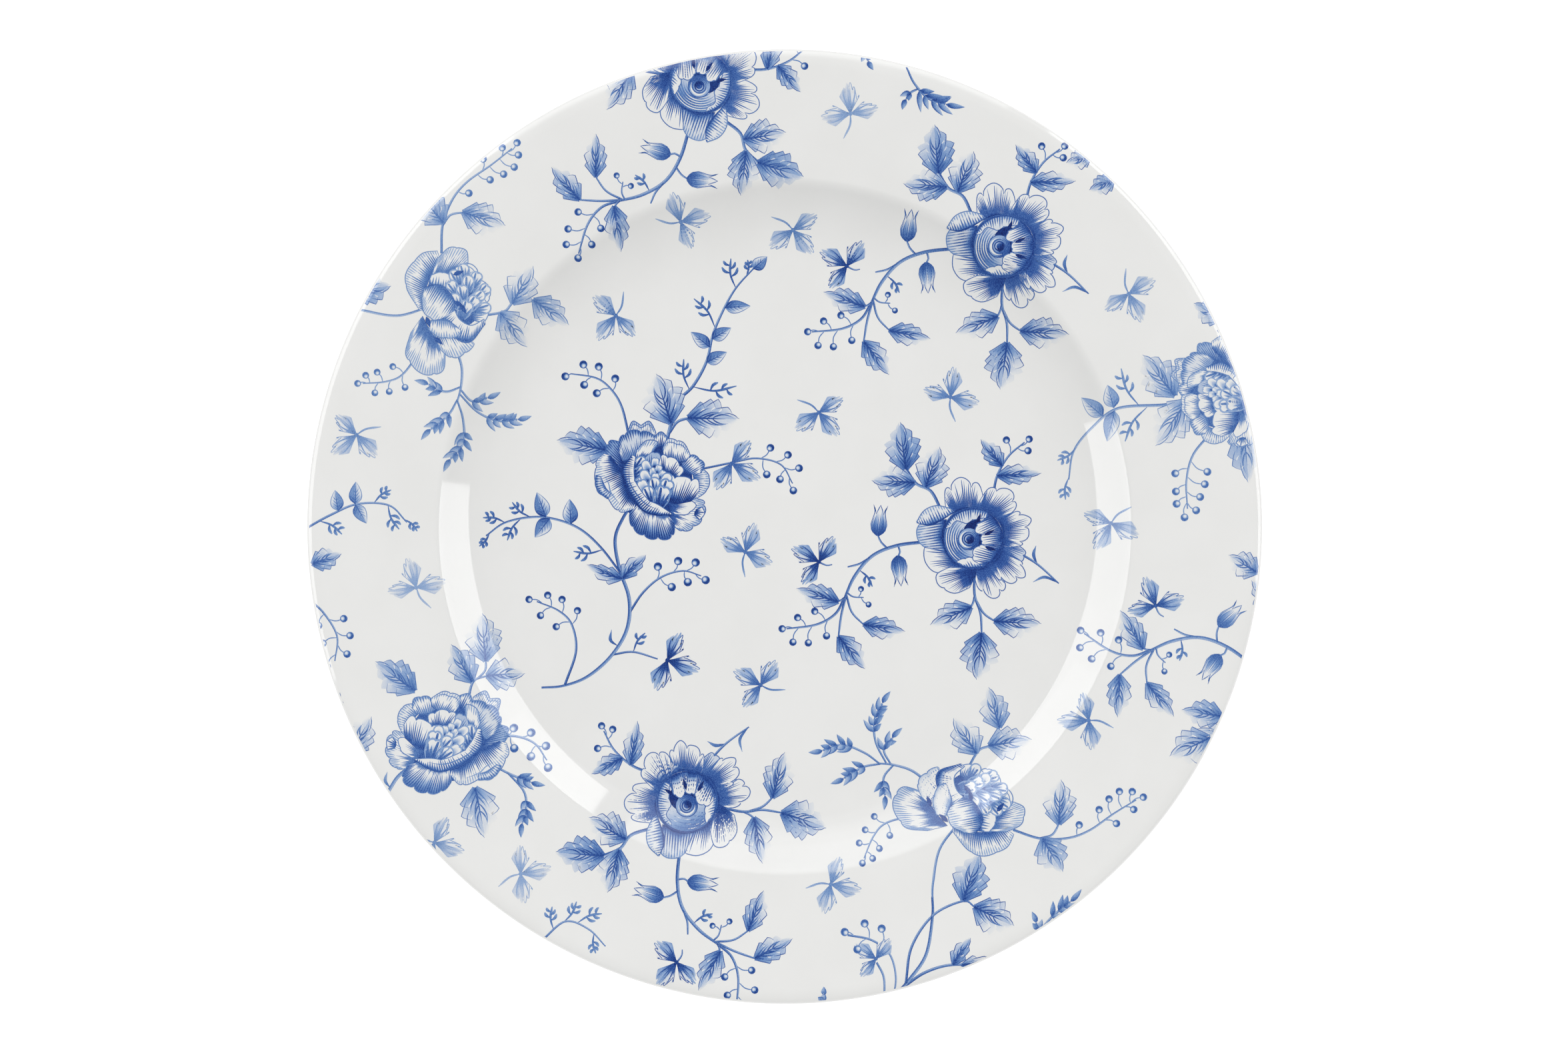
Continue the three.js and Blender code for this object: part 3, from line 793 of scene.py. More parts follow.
def rose_spray(pen, ending=True):
    """A rose with an arm of buds and berries to its left and leaves above and below. With ending, the arm also
    has a trefoil at its end."""
    stem = pen.stem
    stem([(-12, -1.4), (-21, -2.6), (-28, -5.6), (-33, -11.4), (-36, -18)], (0.75, 0.7))
    stem([(-28.6, -6), (-31.6, -7.8), (-35, -8.7)], (0.5, 0.4))
    tips = [(-35.9, -17.6), (-38.6, -22.2), (-44, -25.2), (-52.5, -26.4)]
    stem(tips, (0.62, 0.4))
    stem([(-35.6, -17.4), (-36.8, -22.5), (-37.6, -28.6)], (0.55, 0.45))
    stem([(-35.4, -16.6), (-33.8, -21.6), (-30.4, -25.2)], (0.5, 0.4))
    stem([(-35.8, -17.4), (-36.8, -18.2), (-38, -18.6)], (0.5, 0.4))
    leaf(pen, -37.6, -18.7, 163, 11.4, 5.4, dark=0.12)
    leaf(pen, -30.4, -25.2, -10, 10.8, 5, dark=0.12, flip=True)
    leaf(pen, -37.6, -28.6, -50, 10.8, 5.4, dark=0.16)
    berries(pen, tips, [(-53.7, -26.4), (-49.3, -23.2), (-44.4, -21.4), (-50.6, -30.2), (-46.2, -30.4),
            (-41, -28.4)])
    berry_twig(pen, [(-35.2, -16), (-33.4, -17.2), (-30.4, -17.4)], (0.4, 0.3), [(-31.2, -15),
               (-29, -19.4)], 0.75, back=1)
    stem([(-23.6, -3.4), (-25.4, -1.6), (-26.4, 0.4)], (0.45, 0.4))
    bud(pen, -26.4, 0.2, 84)
    stem([(-20.6, -2.5), (-20, -4.4), (-20.6, -5.6)], (0.45, 0.4))
    bud(pen, -20.6, -5.4, -84)
    twiglet(pen, -31.6, -9.6, -52, 6, 3)
    if ending:
        trefoil(pen, -43.2, -7.2, 130, 1, 1.1, stalk=False)
        stem([(-43, -7.4), (-41, -8.2), (-39.4, -8)], (0.4, 0.3))

    stem([(-8.4, 8), (-11.2, 13), (-15.4, 15.2), (-18.2, 19.4)], (0.7, 0.6))
    stem([(-12.6, 13.8), (-12.8, 14.8)], (0.5, 0.45))
    leaf(pen, -18.3, 19.2, 98, 12.6, 8, teeth=5, dark=0.24)
    leaf(pen, -12.6, 14.2, 72, 11.2, 7.4, teeth=5)
    leaf(pen, -15.8, 15.4, 176, 11.4, 7, teeth=5, dark=0.06, flip=True)

    upper = [(6.6, 11.6), (7.8, 17.4), (11, 23), (15.6, 27)]
    stem(upper, (0.62, 0.4))
    leaf(pen, 9.2, 20.2, 128, 8.8, 4.4, dark=0.2, flip=True)
    leaf(pen, 7.8, 17.4, 4, 11.4, 4.6, dark=0.12)
    berries(pen, upper, [(10.4, 27.6), (16.9, 27.9), (16.6, 24.6)])

    stem([(13.6, -4.4), (19.4, -8), (25.4, -13.4)], (0.55, 0.4))
    pen.hook([(19.2, -7.8), (18.2, -5.2), (18.9, -2.6)], (0.5, 1, 0.4), (0.8, 0.5))
    pen.hook([(25.2, -13.2), (21.4, -11.6), (18, -13)], (0.4, 0.9, 0.4), (0.8, 0.45))

    stem([(1.2, -11), (1.4, -17), (3, -22), (3.4, -28)], (0.62, 0.5))
    stem([(1.8, -18.4), (4, -22), (7.4, -24.4)], (0.55, 0.45))
    stem([(1.4, -16.6), (1, -18.6), (0.2, -20.4)], (0.5, 0.45))
    leaf(pen, 0.4, -20.2, -156, 11.6, 6.2)
    leaf(pen, 7, -24.2, -4, 12.4, 6.8, teeth=5, flip=True)
    leaf(pen, 3.3, -27.6, -95, 12.4, 8.6, teeth=5, dark=0.06)
    rose(pen)


def peony_spray(pen):
    """A peony on a long forked stem, with a tall leafy shoot above it and berries all round."""
    stem = pen.stem
    stem([(-11.4, 7.4), (-14, 8.9)], (0.5, 0.5))
    leaf(pen, -12.8, 8.6, 170, 13.6, 8.4, teeth=5, dark=0.1)
    berry_twig(pen, [(-6.3, 11), (-8.7, 20.9), (-12, 26.2), (-16.2, 29.2), (-23.4, 30.4)], (0.6, 0.36),
               [(-24.8, 29.6), (-19.7, 33), (-15.3, 32.4), (-10.6, 29), (-19.4, 27.2), (-15.8, 24.8)], 1.05)

    stem([(4.2, 11), (5.4, 16.4)], (0.8, 0.7))
    stem([(4.9, 13.4), (7.2, 16.6), (10.6, 17.8)], (0.65, 0.6))
    tall = [(5.4, 15.6), (7.4, 22.4), (11.8, 27), (15.6, 34), (17.8, 42.8), (23.2, 53.8), (29.6, 61.2)]
    stem(tall, (0.75, 0.42))
    leaf(pen, 5.4, 16.3, 108, 13.6, 9.6, teeth=5)
    leaf(pen, 10.2, 17.8, -2, 13.6, 8.6, teeth=5, flip=True)
    small_leaves(pen, tall, 3.6, [(0.4, -42, 6.6, True), (0.49, 62, 7, False), (0.54, -46, 6.4, True),
                 (0.72, -60, 7.4, True), (0.98, -6, 5.4, False)])
    shoots(pen, tall, [(0.23, 56, 9, False), (0.25, -52, 12.6, True), (0.6, 58, 10.4, True),
                       (0.84, 46, 8.6, False), (0.93, 40, 4.6, True)])

    arm = [(14.4, 3.2), (22.6, 4.9), (29.8, 6.2), (36.8, 4.4), (40.2, -1)]
    stem(arm, (0.5, 0.34))
    trefoil(pen, 22.8, 4.7, -52, 1.05, 0.85, stalk=False)
    berries(pen, arm, [(33.8, 9.2), (38.8, 7.2), (42, 3.4), (32.8, 1.6), (36.6, 0.2), (40.4, -3)], 1)

    main = [(-5, -6), (-8.4, -11), (-10.6, -17), (-9.4, -25.2), (-6.6, -34), (-7.2, -42.6), (-11.6, -50.2),
            (-18.4, -56.2), (-25.4, -58.9), (-31.6, -59.4)]
    stem(main, (0.7, 0.8, 0.6))
    leaf(pen, -8.6, -28.2, 168, 9.8, 3.8, bend=-1.6, teeth=3, dark=0.15)
    leaf(pen, -8.4, -28.2, 56, 8.6, 4, bend=-1.6, teeth=3, dark=0.2)
    side = [(-9.2, -26.4), (-14.6, -19.4), (-20.4, -14.2), (-27, -11.4), (-34, -10.6), (-42, -12.2),
            (-47.4, -16)]
    stem(side, (0.55, 0.45))
    small_leaves(pen, side, 4.2, [(0.44, -64, 7.2, False), (0.6, -64, 7.6, True), (0.58, 62, 7, False)])
    shoots(pen, side, [(0.18, 52, 8.4, False), (0.7, -44, 6.8, False), (0.76, 48, 7.4, True),
           (0.86, -36, 6.4, True), (0.98, 14, 4.6, False)])

    berry_twig(pen, [(-6.5, -38), (-2.6, -32.2), (2.6, -27.8), (8.8, -26), (14, -27.4)], (0.58, 0.34),
               [(1.6, -24.8), (7.4, -23.2), (12.4, -23.6), (15.3, -28.6), (10.2, -29.2), (5.6, -30.6)], 1.1)
    berry_twig(pen, [(-25, -58.8), (-21.8, -49), (-23, -41.4), (-26.8, -37.4), (-33, -34.8)], (0.62, 0.36),
               [(-29.9, -33), (-25.8, -34.2), (-21.4, -37.4), (-27.4, -42), (-31.9, -38.8), (-35.2, -34.2)],
               0.95)
    stem([(-11.4, -50), (-5.4, -49.2), (1.6, -51.2)], (0.5, 0.4))
    trefoil(pen, 4.4, -51.6, -40, 1.1, 1.1, stalk=False)
    twiglet(pen, -5.4, -49.2, 58, 6.4, 3)
    pen.hook([(-9.8, -47.5), (-11.9, -45.8), (-11.6, -42.8)], (0.3, 1, 0.3), (0.85, 0.5))
    peony(pen)


def side_peony_spray(pen):
    """A peony seen from the side, with a berry shoot above it, three leaves to the right and ferns below."""
    stem = pen.stem
    top = [(-3.2, 13.6), (-2.8, 21.6), (0, 28.8), (4.2, 33.8), (11, 38.6), (16.8, 43.2)]
    stem(top, (0.6, 0.36))
    leaf(pen, -2.6, 22.2, 130, 9.8, 7.4, dark=0.18)
    stem([(-2.7, 21.6), (-0.6, 24.4), (3, 25.2)], (0.5, 0.45))
    leaf(pen, 2.8, 25.2, -18, 11.6, 7.2, teeth=5, flip=True)
    berries(pen, top, [(18.2, 44.8), (14, 43.4), (18.6, 41.4), (17.4, 38), (14.4, 36), (10.6, 34.4),
            (8.6, 40.2), (4.6, 30.6)], 0.95)
    stem([(7.4, -4), (14.2, -2.6), (17, 0), (22.6, 0.8)], (0.55, 0.5))
    leaf(pen, 16.6, -0.4, 62, 11, 7.4)
    leaf(pen, 22.4, 0.8, -36, 10.8, 6.6, dark=0.1, flip=True)
    leaf(pen, 13.2, -2.9, -52, 10.8, 7)
    stem([(-6.6, -1.4), (-15.6, -4), (-25, -2.6), (-29, -1.4)], (0.5, 0.55))
    berry_twig(pen, [(-9.4, -14), (-14.2, -20.5), (-18.8, -22.6), (-25.4, -23.2)], (0.5, 0.32),
               [(-17, -18.4), (-21.4, -20), (-24.6, -20.9), (-26.8, -23.2), (-22, -25.8), (-18, -25.4),
               (-13.6, -24.2)], 0.85, back=1.4)
    stem([(0, -11.6), (2.2, -18.2), (2, -24), (1, -28)], (0.6, 0.5))
    fern(pen, [(1, -28), (2.4, -33), (2.4, -39.6), (-1, -44.4)], pairs=4)
    fern(pen, [(2, -24), (-2.4, -25.4), (-7, -23.4)], pairs=2)
    fern(pen, [(1.9, -24.8), (5, -28), (9, -27)], pairs=2)
    fern(pen, [(1.6, -26), (6.4, -31), (12, -33.4), (17.4, -33)], pairs=4)
    fern(pen, [(1, -27.6), (-1.6, -32), (-6.4, -36)], pairs=3)
    side_peony(pen)


def short_peony_spray(pen):
    """A peony with single leaves close round it, a berry twig to the right and a fern below."""
    stem = pen.stem
    leaf(pen, -10, 14, 144, 12.8, 7.6, teeth=5, dark=0.24)
    stem([(4.6, 10), (6.2, 16.4), (9.8, 18)], (0.6, 0.5))
    stem([(7.4, 17.2), (9.4, 19.6), (9.5, 22.6)], (0.5, 0.45))
    leaf(pen, 5.9, 16.4, 120, 11, 6.4, dark=0.2)
    leaf(pen, 9.5, 22.2, 96, 12.6, 7.8, teeth=5)
    leaf(pen, 9.8, 18, 4, 9.6, 7.2)
    berry_twig(pen, [(12, 0.2), (17.6, 1), (23.4, -1.2), (27, -6)], (0.6, 0.36), [(17.6, 3.2), (22.4, 1.8),
               (26.6, -2), (27.4, -8), (22.6, -4.8), (17.9, -2.4)], 1.1)
    fern(pen, [(10.6, -6.4), (17, -9.8), (22.6, -12)], pairs=2)
    fern(pen, [(16, -9.2), (20.6, -14.4), (21.4, -19), (20.4, -23.4)], pairs=3)
    leaf(pen, 7, -13.4, -78, 13, 8.4)
    stem([(-7, -5), (-13.8, -9.4), (-17, -13.8), (-21, -20)], (0.8, 0.7))
    pen.hook([(-16.7, -13.4), (-18.2, -11.4), (-17.6, -8.8)], (0.4, 1, 0.3), (0.75, 0.45))
    peony(pen.at(0, 0, 148, flip=True))


def right_peony_spray(pen):
    """A peony cut off by the plate's right edge, with a leafy shoot to its left and a berry twig below."""
    stem = pen.stem
    shoot = [(116, 35.2), (106.7, 34.4), (94.5, 33.5), (87.8, 28.4), (82.6, 21.6), (81.2, 13.4)]
    stem(shoot, (0.7, 0.42))
    leaf(pen, 110.4, 37, 129, 13.6, 8.2, teeth=5, dark=0.1)
    leaf(pen, 114, 35.6, 234, 14.4, 8.4, teeth=5, flip=True)
    for x, y, heading, length in [(90.6, 31.2, 138, 8.2), (93.4, 33.6, 106, 6.8), (93.6, 33, 258, 9)]:
        small_leaf(pen, x, y, heading, length, 4.2)
    for x, y, heading, length, flip in [(100.6, 34, 116, 12, False), (102.6, 33.8, 238, 11.4, True),
                                        (83.4, 22.6, 214, 6.6, False), (81.2, 14, 262, 6.4, True)]:
        twiglet(pen, x, y, heading, length, 4, flip)
    berry_twig(pen, [(121, 27), (115.6, 20.4), (113.7, 13), (114, 5)], (0.55, 0.36), [(119.5, 15.5),
               (118.8, 12), (117.5, 8.4), (116.4, 4.6), (113.2, 2.6), (111, 6.4), (110.8, 9.9),
               (110.6, 15)], 1)
    leaf(pen, 129.4, 28.6, 276, 14.6, 8, dark=0.2)
    leaf(pen, 126, 52, 98, 7, 5, dark=0.2)
    peony(pen.at(124, 38.2, 255, 0.92, flip=True))


# ---------------------------------------------------------------- Where the prints lie

def one(draw, x, y, turn=0, flip=False, strength=1):
    """A print of one drawing, moved to (x, y), turned, mirrored and with its tones multiplied by strength."""
    return lambda pen: draw(pen.at(x, y, turn, flip=flip, strength=strength))


def left_edge(pen):
    """Ends of sprays that run off the plate's left edge."""
    twig = [(-136, -1), (-128, 3.4), (-120.6, 6.4), (-112, 6), (-107, 1.2)]
    pen.stem(twig, (0.55, 0.4))
    small_leaves(pen, twig, 3.5, [(0.34, 72, 6, False), (0.5, 76, 6.4, True), (0.5, -72, 6.2, False)])
    shoots(pen, twig, [(0.16, -60, 7.4, False), (0.66, 40, 6, False), (0.78, -46, 7.6, True),
           (0.97, 6, 5, False)])
    berry_twig(pen, [(-134.6, -20.6), (-130.2, -24.4), (-126.4, -31), (-127, -38)], (0.5, 0.34),
               [(-131.6, -28), (-124.6, -26), (-122.8, -30.8), (-123.6, -36), (-130.4, -33),
               (-129.2, -39.6)])
    leaf(pen, -133.6, -10.6, 20, 8, 5, dark=0.2)
    leaf(pen, -121.4, 66, 12, 9.4, 6.8, dark=0.24)
    leaf(pen, -122.4, -64, 62, 10.6, 6.6)
    leaf(pen, -128.6, -53.4, 66, 6.4, 4)


def bottom_edge(pen):
    """Ends of sprays that run off the plate's bottom edge."""
    twig = [(-68.6, -117), (-62, -111.6), (-55.4, -113.8), (-50.6, -118.6)]
    pen.stem(twig, (0.5, 0.36))
    shoots(pen, twig, [(0.2, 50, 6.4, False), (0.38, 42, 6.6, True), (0.56, 44, 7.4, False),
           (0.8, -40, 5.6, True)])
    berry_twig(pen, [(17.8, -115.6), (24.6, -117), (29.6, -120.8), (31.4, -127.2), (30.6, -134)],
               (0.5, 0.4), [(17, -114.8), (22.6, -112.4), (27.4, -113.8), (20.6, -119.6)], 1.05, back=-2.4)
    trefoil(pen, 25.8, -122.2, 125, 0.82, 1, stalk=False)
    pen.stem([(26, -123.2), (28, -127.4), (28.2, -133.6)], (0.5, 0.45))
    fern(pen, [(70.4, -116.6), (75.4, -110.4), (80.6, -106)], pairs=3, length=4.8)
    fern(pen, [(70.4, -118.6), (71.4, -114.6), (71, -112)], pairs=1, length=3.4)
    fern(pen, [(11, -135.4), (10.6, -133.4), (10.8, -132.4)], pairs=1, length=2.4)


def right_edge(pen):
    """Leaves of sprays that run off the plate's right edge."""
    leaf(pen, 123.6, -53.6, 172, 10.4, 6.2, dark=0.18)
    leaf(pen, 120.2, -59.6, 206, 11.4, 8.2)
    leaf(pen, 123.8, 58.8, 154, 8.4, 6, dark=0.2)
    leaf(pen, 133.6, -13, 150, 8.6, 6)


def top_edge(pen):
    """A fern and bits of leaves that hang from the plate's top edge."""
    fern(pen, [(34.4, 129.8), (36.6, 125.2), (40.6, 121), (45.4, 119.4)], pairs=4, length=5.6)
    fern(pen, [(37.6, 123.6), (35.6, 122.6), (34.4, 120.8)], pairs=1, length=3.2)
    fern(pen, [(23.4, 134.6), (23.2, 133), (23.6, 131.6)], pairs=1, length=3)
    leaf(pen, 86.4, 104.6, 196, 6.4, 4.6)
    leaf(pen, 93, 98, 204, 6.8, 4.6, dark=0.15)


def bottom_fork(pen):
    """The long stalk below the lower side peony, with two leaves and a shoot, down to the edge."""
    pen.stem([(41.8, -104.8), (41.8, -110.4), (40, -120.8), (35.3, -127.9), (30.4, -133.6)], (0.55, 0.8))
    pen.stem([(34.2, -129), (35.9, -118.8), (42, -110), (50.4, -106), (53.8, -107.6)], (0.6, 0.5))
    leaf(pen, 50.5, -105.8, 71, 12.8, 8, teeth=5, dark=0.2)
    leaf(pen, 53.6, -107.6, -26, 11.4, 8, teeth=5, flip=True)
    pen.stem([(33.2, -130.4), (39.6, -126), (47.4, -123.8), (58, -124.4)], (0.7, 0.5))
    leaf(pen, 47.6, -123.8, 64, 8.2, 3.6, bend=-1, teeth=3, dark=0.25)
    leaf(pen, 50, -123.9, 8, 9.8, 3.4, bend=-1.2, teeth=3)


PRINTS = {
    "print_rose_middle": one(rose_spray, 53, -2.9),
    "print_rose_upper_right": one(rose_spray, 61.2, 80.2, turn=-2, strength=0.95),
    "print_rose_lower_left": one(rose_spray, -28.6, -79.4, turn=78, strength=0.95),
    "print_rose_top": one(lambda pen: rose_spray(pen, ending=False), -23.4, 124.6, 80, True, 0.92),
    "print_rose_right": one(rose_spray, 142, -46, turn=-42, strength=0.85),
    "print_peony_middle": one(peony_spray, -37.9, 13.3),
    "print_peony_right": one(right_peony_spray, 0, 0, strength=0.75),
    "print_peony_lower_left": one(short_peony_spray, -94.6, -60.5, strength=0.82),
    "print_side_peony_upper_left": one(side_peony_spray, -93.8, 63.6, strength=0.72),
    "print_side_peony_lower_right": one(side_peony_spray, 53, -78.3, turn=70, flip=True, strength=0.8),
    "print_bottom_fork": one(bottom_fork, 0, 0, strength=0.95),
    "print_left_edge": one(left_edge, 0, 0, strength=0.85),
    "print_right_edge": one(right_edge, 0, 0, strength=0.85),
    "print_top_edge": one(top_edge, 0, 0, strength=0.9),
    "print_bottom_edge": one(bottom_edge, 0, 0, strength=0.8),
}

# x, y, turn, strength and whether mirrored
TREFOILS = [(2.4, 84.7, -72, 0.7, False), (-48.3, 60.3, -150, 0.75, False), (9.8, 32.6, -72, 0.8, False),
            (47.4, 37.0, 60, 0.72, False), (-11.3, -7.3, 48, 0.78, False), (-6.9, -45.4, 128, 0.85, False),
            (92.9, 0.9, 262, 0.7, True), (18.6, 116.8, 116, 0.55, True), (97.3, 65.8, -42, 0.62, True),
            (-121.0, 25.9, 240, 0.62, True), (-104.4, -17.3, 84, 0.5, False), (86.2, -55.0, 205, 0.72, True),
            (-74.6, -98.2, -12, 0.5, False), (13.1, -101.5, -33, 0.64, False), (-98.9, -89.3, -40, 0.6, False),
            (-29.6, 86.8, 36, 0.66, True)]
for number, (x, y, turn, strength, flip) in enumerate(TREFOILS, 1):
    PRINTS[f"print_trefoil_{number:02d}"] = one(trefoil, x, y, turn, flip, strength)


# ---------------------------------------------------------------- Meshes

def make_object(name, vertices, faces, material, body="root"):
    """A smooth-shaded piece from vertices in millimetres, riding on a body."""
    mesh = bpy.data.meshes.new(name)
    mesh.from_pydata(np.asarray(vertices) * MM, [], faces)
    mesh.shade_smooth()
    mesh.materials.append(material)
    piece = bpy.data.objects.new(name, mesh)
    bpy.context.collection.objects.link(piece)
    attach(piece, body)
    return piece


def lay_flat(mesh, low, high, halves):
    """A UV map that looks straight down on a box from low to high. With halves, faces that look down have the
    right half to themselves."""
    layer = mesh.uv_layers.new(name="OFBake")
    corners = np.empty(len(mesh.loops), np.int32)
    mesh.loops.foreach_get("vertex_index", corners)
    places = np.empty(len(mesh.vertices) * 3, np.float32)
    mesh.vertices.foreach_get("co", places)
    spots = places.reshape(-1, 3)[corners, :2] / MM
    uv = UV_MARGIN + (1 - 2 * UV_MARGIN) * (spots - low) / (np.asarray(high) - low)
    if halves:
        normals = np.empty(len(mesh.polygons) * 3, np.float32)
        mesh.polygons.foreach_get("normal", normals)
        sizes = np.empty(len(mesh.polygons), np.int32)
        mesh.polygons.foreach_get("loop_total", sizes)
        looks_down = np.repeat(normals.reshape(-1, 3)[:, 2] < 0, sizes)
        uv[:, 0] = uv[:, 0] / 2 + 0.5 * looks_down
    layer.data.foreach_set("uv", uv.astype(np.float32).ravel())


def turned(name, profile, material):
    """A solid of revolution about Z from (r, z) points that start and end on the axis."""
    angle = np.linspace(0, 2 * np.pi, SEGMENTS, endpoint=False)
    ring = np.column_stack([np.cos(angle), np.sin(angle)])
    vertices, faces, rows = [], [], []
    for r, z in profile:
        on_axis = r < 1e-6
        rows.append((sum(len(v) for v in vertices), on_axis))
        around_axis = np.column_stack([ring * r, np.full(SEGMENTS, z)])
        vertices.append(np.array([[0, 0, z]]) if on_axis else around_axis)
    for (a, a_point), (b, b_point) in zip(rows, rows[1:]):
        for i in range(SEGMENTS):
            j = (i + 1) % SEGMENTS
            if a_point:
                faces.append((a, b + i, b + j))
            elif b_point:
                faces.append((a + i, b, a + j))
            else:
                faces.append((a + i, b + i, b + j, a + j))
    piece = make_object(name, np.vstack(vertices), faces, material)
    piece.data.set_sharp_from_angle(angle=math.radians(SHARP_ANGLE))
    lay_flat(piece.data, (-PLATE_R, -PLATE_R), (PLATE_R, PLATE_R), halves=True)
    return piece


def plate_outline():
    """The plate's outline as (r, z) points from the centre of the well, over the edge, to the centre of the
    base, with the numbers of the two points where the glaze ends. Its points are closest together where the
    face bends."""
    radii = np.concatenate([[0, 25, 50, 66, 72], np.linspace(FLOOR_R, VERGE_R - 3, 22),
                            np.linspace(VERGE_R - 2.4, VERGE_R + 2.4, 15),
                            np.linspace(VERGE_R + 4, PLATE_R - EDGE_WIDTH, 14)])
    face = np.column_stack([radii, face_height(radii)])
    turn = np.linspace(0, np.pi, 29)[1:-1]
    radii = PLATE_R - EDGE_WIDTH * (1 - np.sin(turn))
    edge = np.column_stack([radii, np.where(turn <= np.pi / 2, face_height(radii), under_height(radii))])
    outer = FOOT_OUTER_R + FOOT_ROUND
    top = outer + FOOT_FLARE
    radii = np.concatenate([np.linspace(PLATE_R - EDGE_WIDTH, VERGE_R + 9, 8),
                            np.linspace(VERGE_R + 7, top + 2, 16)])
    under = np.column_stack([radii, under_height(radii)])
    foot_outside = curve([(top + 1.2, under_height(top + 1.2) - 0.02), (top, under_height(top) - 0.35),
                          (outer + 0.4, 2.2), (outer + 0.1, GLAZE_LINE_Z)], 0.25)
    bare = curve([(outer, 0.8), (FOOT_OUTER_R + FOOT_ROUND * 0.7, FOOT_ROUND * 0.3), (FOOT_OUTER_R, 0)], 0.2)
    inner = FOOT_INNER_R - FOOT_ROUND
    bare_inside = curve([(FOOT_INNER_R, 0), (FOOT_INNER_R - FOOT_ROUND * 0.7, FOOT_ROUND * 0.3),
                         (inner, 0.8)], 0.2)
    base_z = FLOOR_Z - WELL_THICKNESS
    base = curve([(inner - 0.1, GLAZE_LINE_Z), (inner - FOOT_FLARE * 0.3, base_z - 0.6),
                  (inner - FOOT_FLARE, base_z - 0.1), (inner - FOOT_FLARE * 1.8, base_z)], 0.25)
    middle = np.array([(60, base_z), (30, base_z), (0, base_z)])
    glazed = np.vstack([face, edge, under, foot_outside])
    feet = np.vstack([bare, bare_inside])
    return np.vstack([glazed, feet, base, middle]), len(glazed) - 1, len(glazed) + len(feet)


def make_plate(glaze, clay):
    """The clay body and its two coats of glaze, which part at the bare foot."""
    outline, face_end, base_start = plate_outline()
    inwards = -leftwards(outline)
    inwards[0], inwards[-1] = (0, -1), (0, 1)
    run = np.concatenate([[0], np.cumsum(np.linalg.norm(np.diff(outline, axis=0), axis=1))])
    to_line = np.where(run <= run[face_end], run[face_end] - run, np.maximum(run - run[base_start], 0))
    depth = GLAZE_THICKNESS * fade(to_line, 0, GLAZE_TAPER)
    clay_outline = outline + inwards * depth[:, None]
    body = turned("plate_clay", clay_outline, clay)
    face = np.vstack([outline[: face_end + 1], clay_outline[:face_end][::-1]])
    face_coat = turned("plate_face_glaze", face, glaze)
    base = np.vstack([clay_outline[base_start + 1:][::-1], outline[base_start:]])
    base_coat = turned("plate_base_glaze", base, glaze)
    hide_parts("clay_body")
    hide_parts("face_glaze")
    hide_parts("base_glaze")


def make_print(name, draw, ink):
    """Draws one print, cuts it off at the plate's edge and lays it on the glaze as closed films, each with a
    top, an underside in the glaze and walls between their borders."""
    sheet = Sheet()
    draw(Pen(sheet))
    points = np.vstack(sheet.points)
    tones, levels = np.concatenate(sheet.tones), np.concatenate(sheet.levels)
    quads = np.vstack(sheet.quads)
    radii = np.hypot(points[:, 0], points[:, 1])
    quads = quads[(radii[quads] < PRINT_R - CUT_SLACK).any(axis=1)]
    quads = quads[np.argsort(levels[quads[:, 0]], kind="stable")]
    points = points * np.minimum(1, PRINT_R / np.maximum(radii, 1e-6))[:, None]
    used, quads = np.unique(quads, return_inverse=True)
    quads = quads.reshape(-1, 4)
    points, tones, levels = points[used], tones[used], levels[used]

    normals = face_normal(points[:, 0], points[:, 1])
    ground = np.column_stack([points, face_height(np.hypot(points[:, 0], points[:, 1]))])
    top = ground + normals * (FILM_LIFT + FILM_STEP * levels)[:, None]
    under = ground - normals * FILM_SUNK

    count = len(points)
    starts, ends = quads.ravel(), np.roll(quads, -1, axis=1).ravel()
    keys = starts.astype(np.int64) * count + ends
    alone = ~np.isin(keys, ends.astype(np.int64) * count + starts)
    starts, ends = starts[alone], ends[alone]
    walls = np.column_stack([ends, starts, starts + count, ends + count])
    faces = np.vstack([quads[:, ::-1] + count, walls, quads])

    piece = make_object(name, np.vstack([top, under]), faces.tolist(), ink)
    mesh = piece.data
    mesh.normals_split_custom_set_from_vertices(np.vstack([normals, -normals]))
    tone = mesh.attributes.new("tone", "FLOAT", "POINT")
    tone.data.foreach_set("value", np.concatenate([tones, tones]).astype(np.float32))
    lay_flat(mesh, points.min(axis=0) - UV_BORDER, points.max(axis=0) + UV_BORDER, halves=False)


# ---------------------------------------------------------------- Materials

def new_material(name):
    """An empty material with a Principled BSDF, and its node tree."""
    material = bpy.data.materials.new(name)
    material.use_nodes = True
    tree = material.node_tree
    tree.nodes.clear()
    output = tree.nodes.new("ShaderNodeOutputMaterial")
    shader = tree.nodes.new("ShaderNodeBsdfPrincipled")
    tree.links.new(shader.outputs["BSDF"], output.inputs["Surface"])
    return material, tree, shader


def noise(tree, scale, detail=3.0, roughness=0.5):
    """Noise fixed to the object, with scale in cells per metre."""
    place = tree.nodes.new("ShaderNodeTexCoord")
    texture = tree.nodes.new("ShaderNodeTexNoise")
    texture.inputs["Scale"].default_value = scale
    texture.inputs["Detail"].default_value = detail
    texture.inputs["Roughness"].default_value = roughness
    tree.links.new(place.outputs["Object"], texture.inputs["Vector"])
    return texture.outputs["Fac"]


def ramp(tree, value, stops):
    """Colours along a value, from (position, colour) stops."""
    node = tree.nodes.new("ShaderNodeValToRGB")
    elements = node.color_ramp.elements
    while len(elements) < len(stops):
        elements.new(0.5)
    for element, (position, colour) in zip(elements, stops):
        element.position, element.color = position, (*colour, 1.0)
    tree.links.new(value, node.inputs["Fac"])
    return node.outputs["Color"]


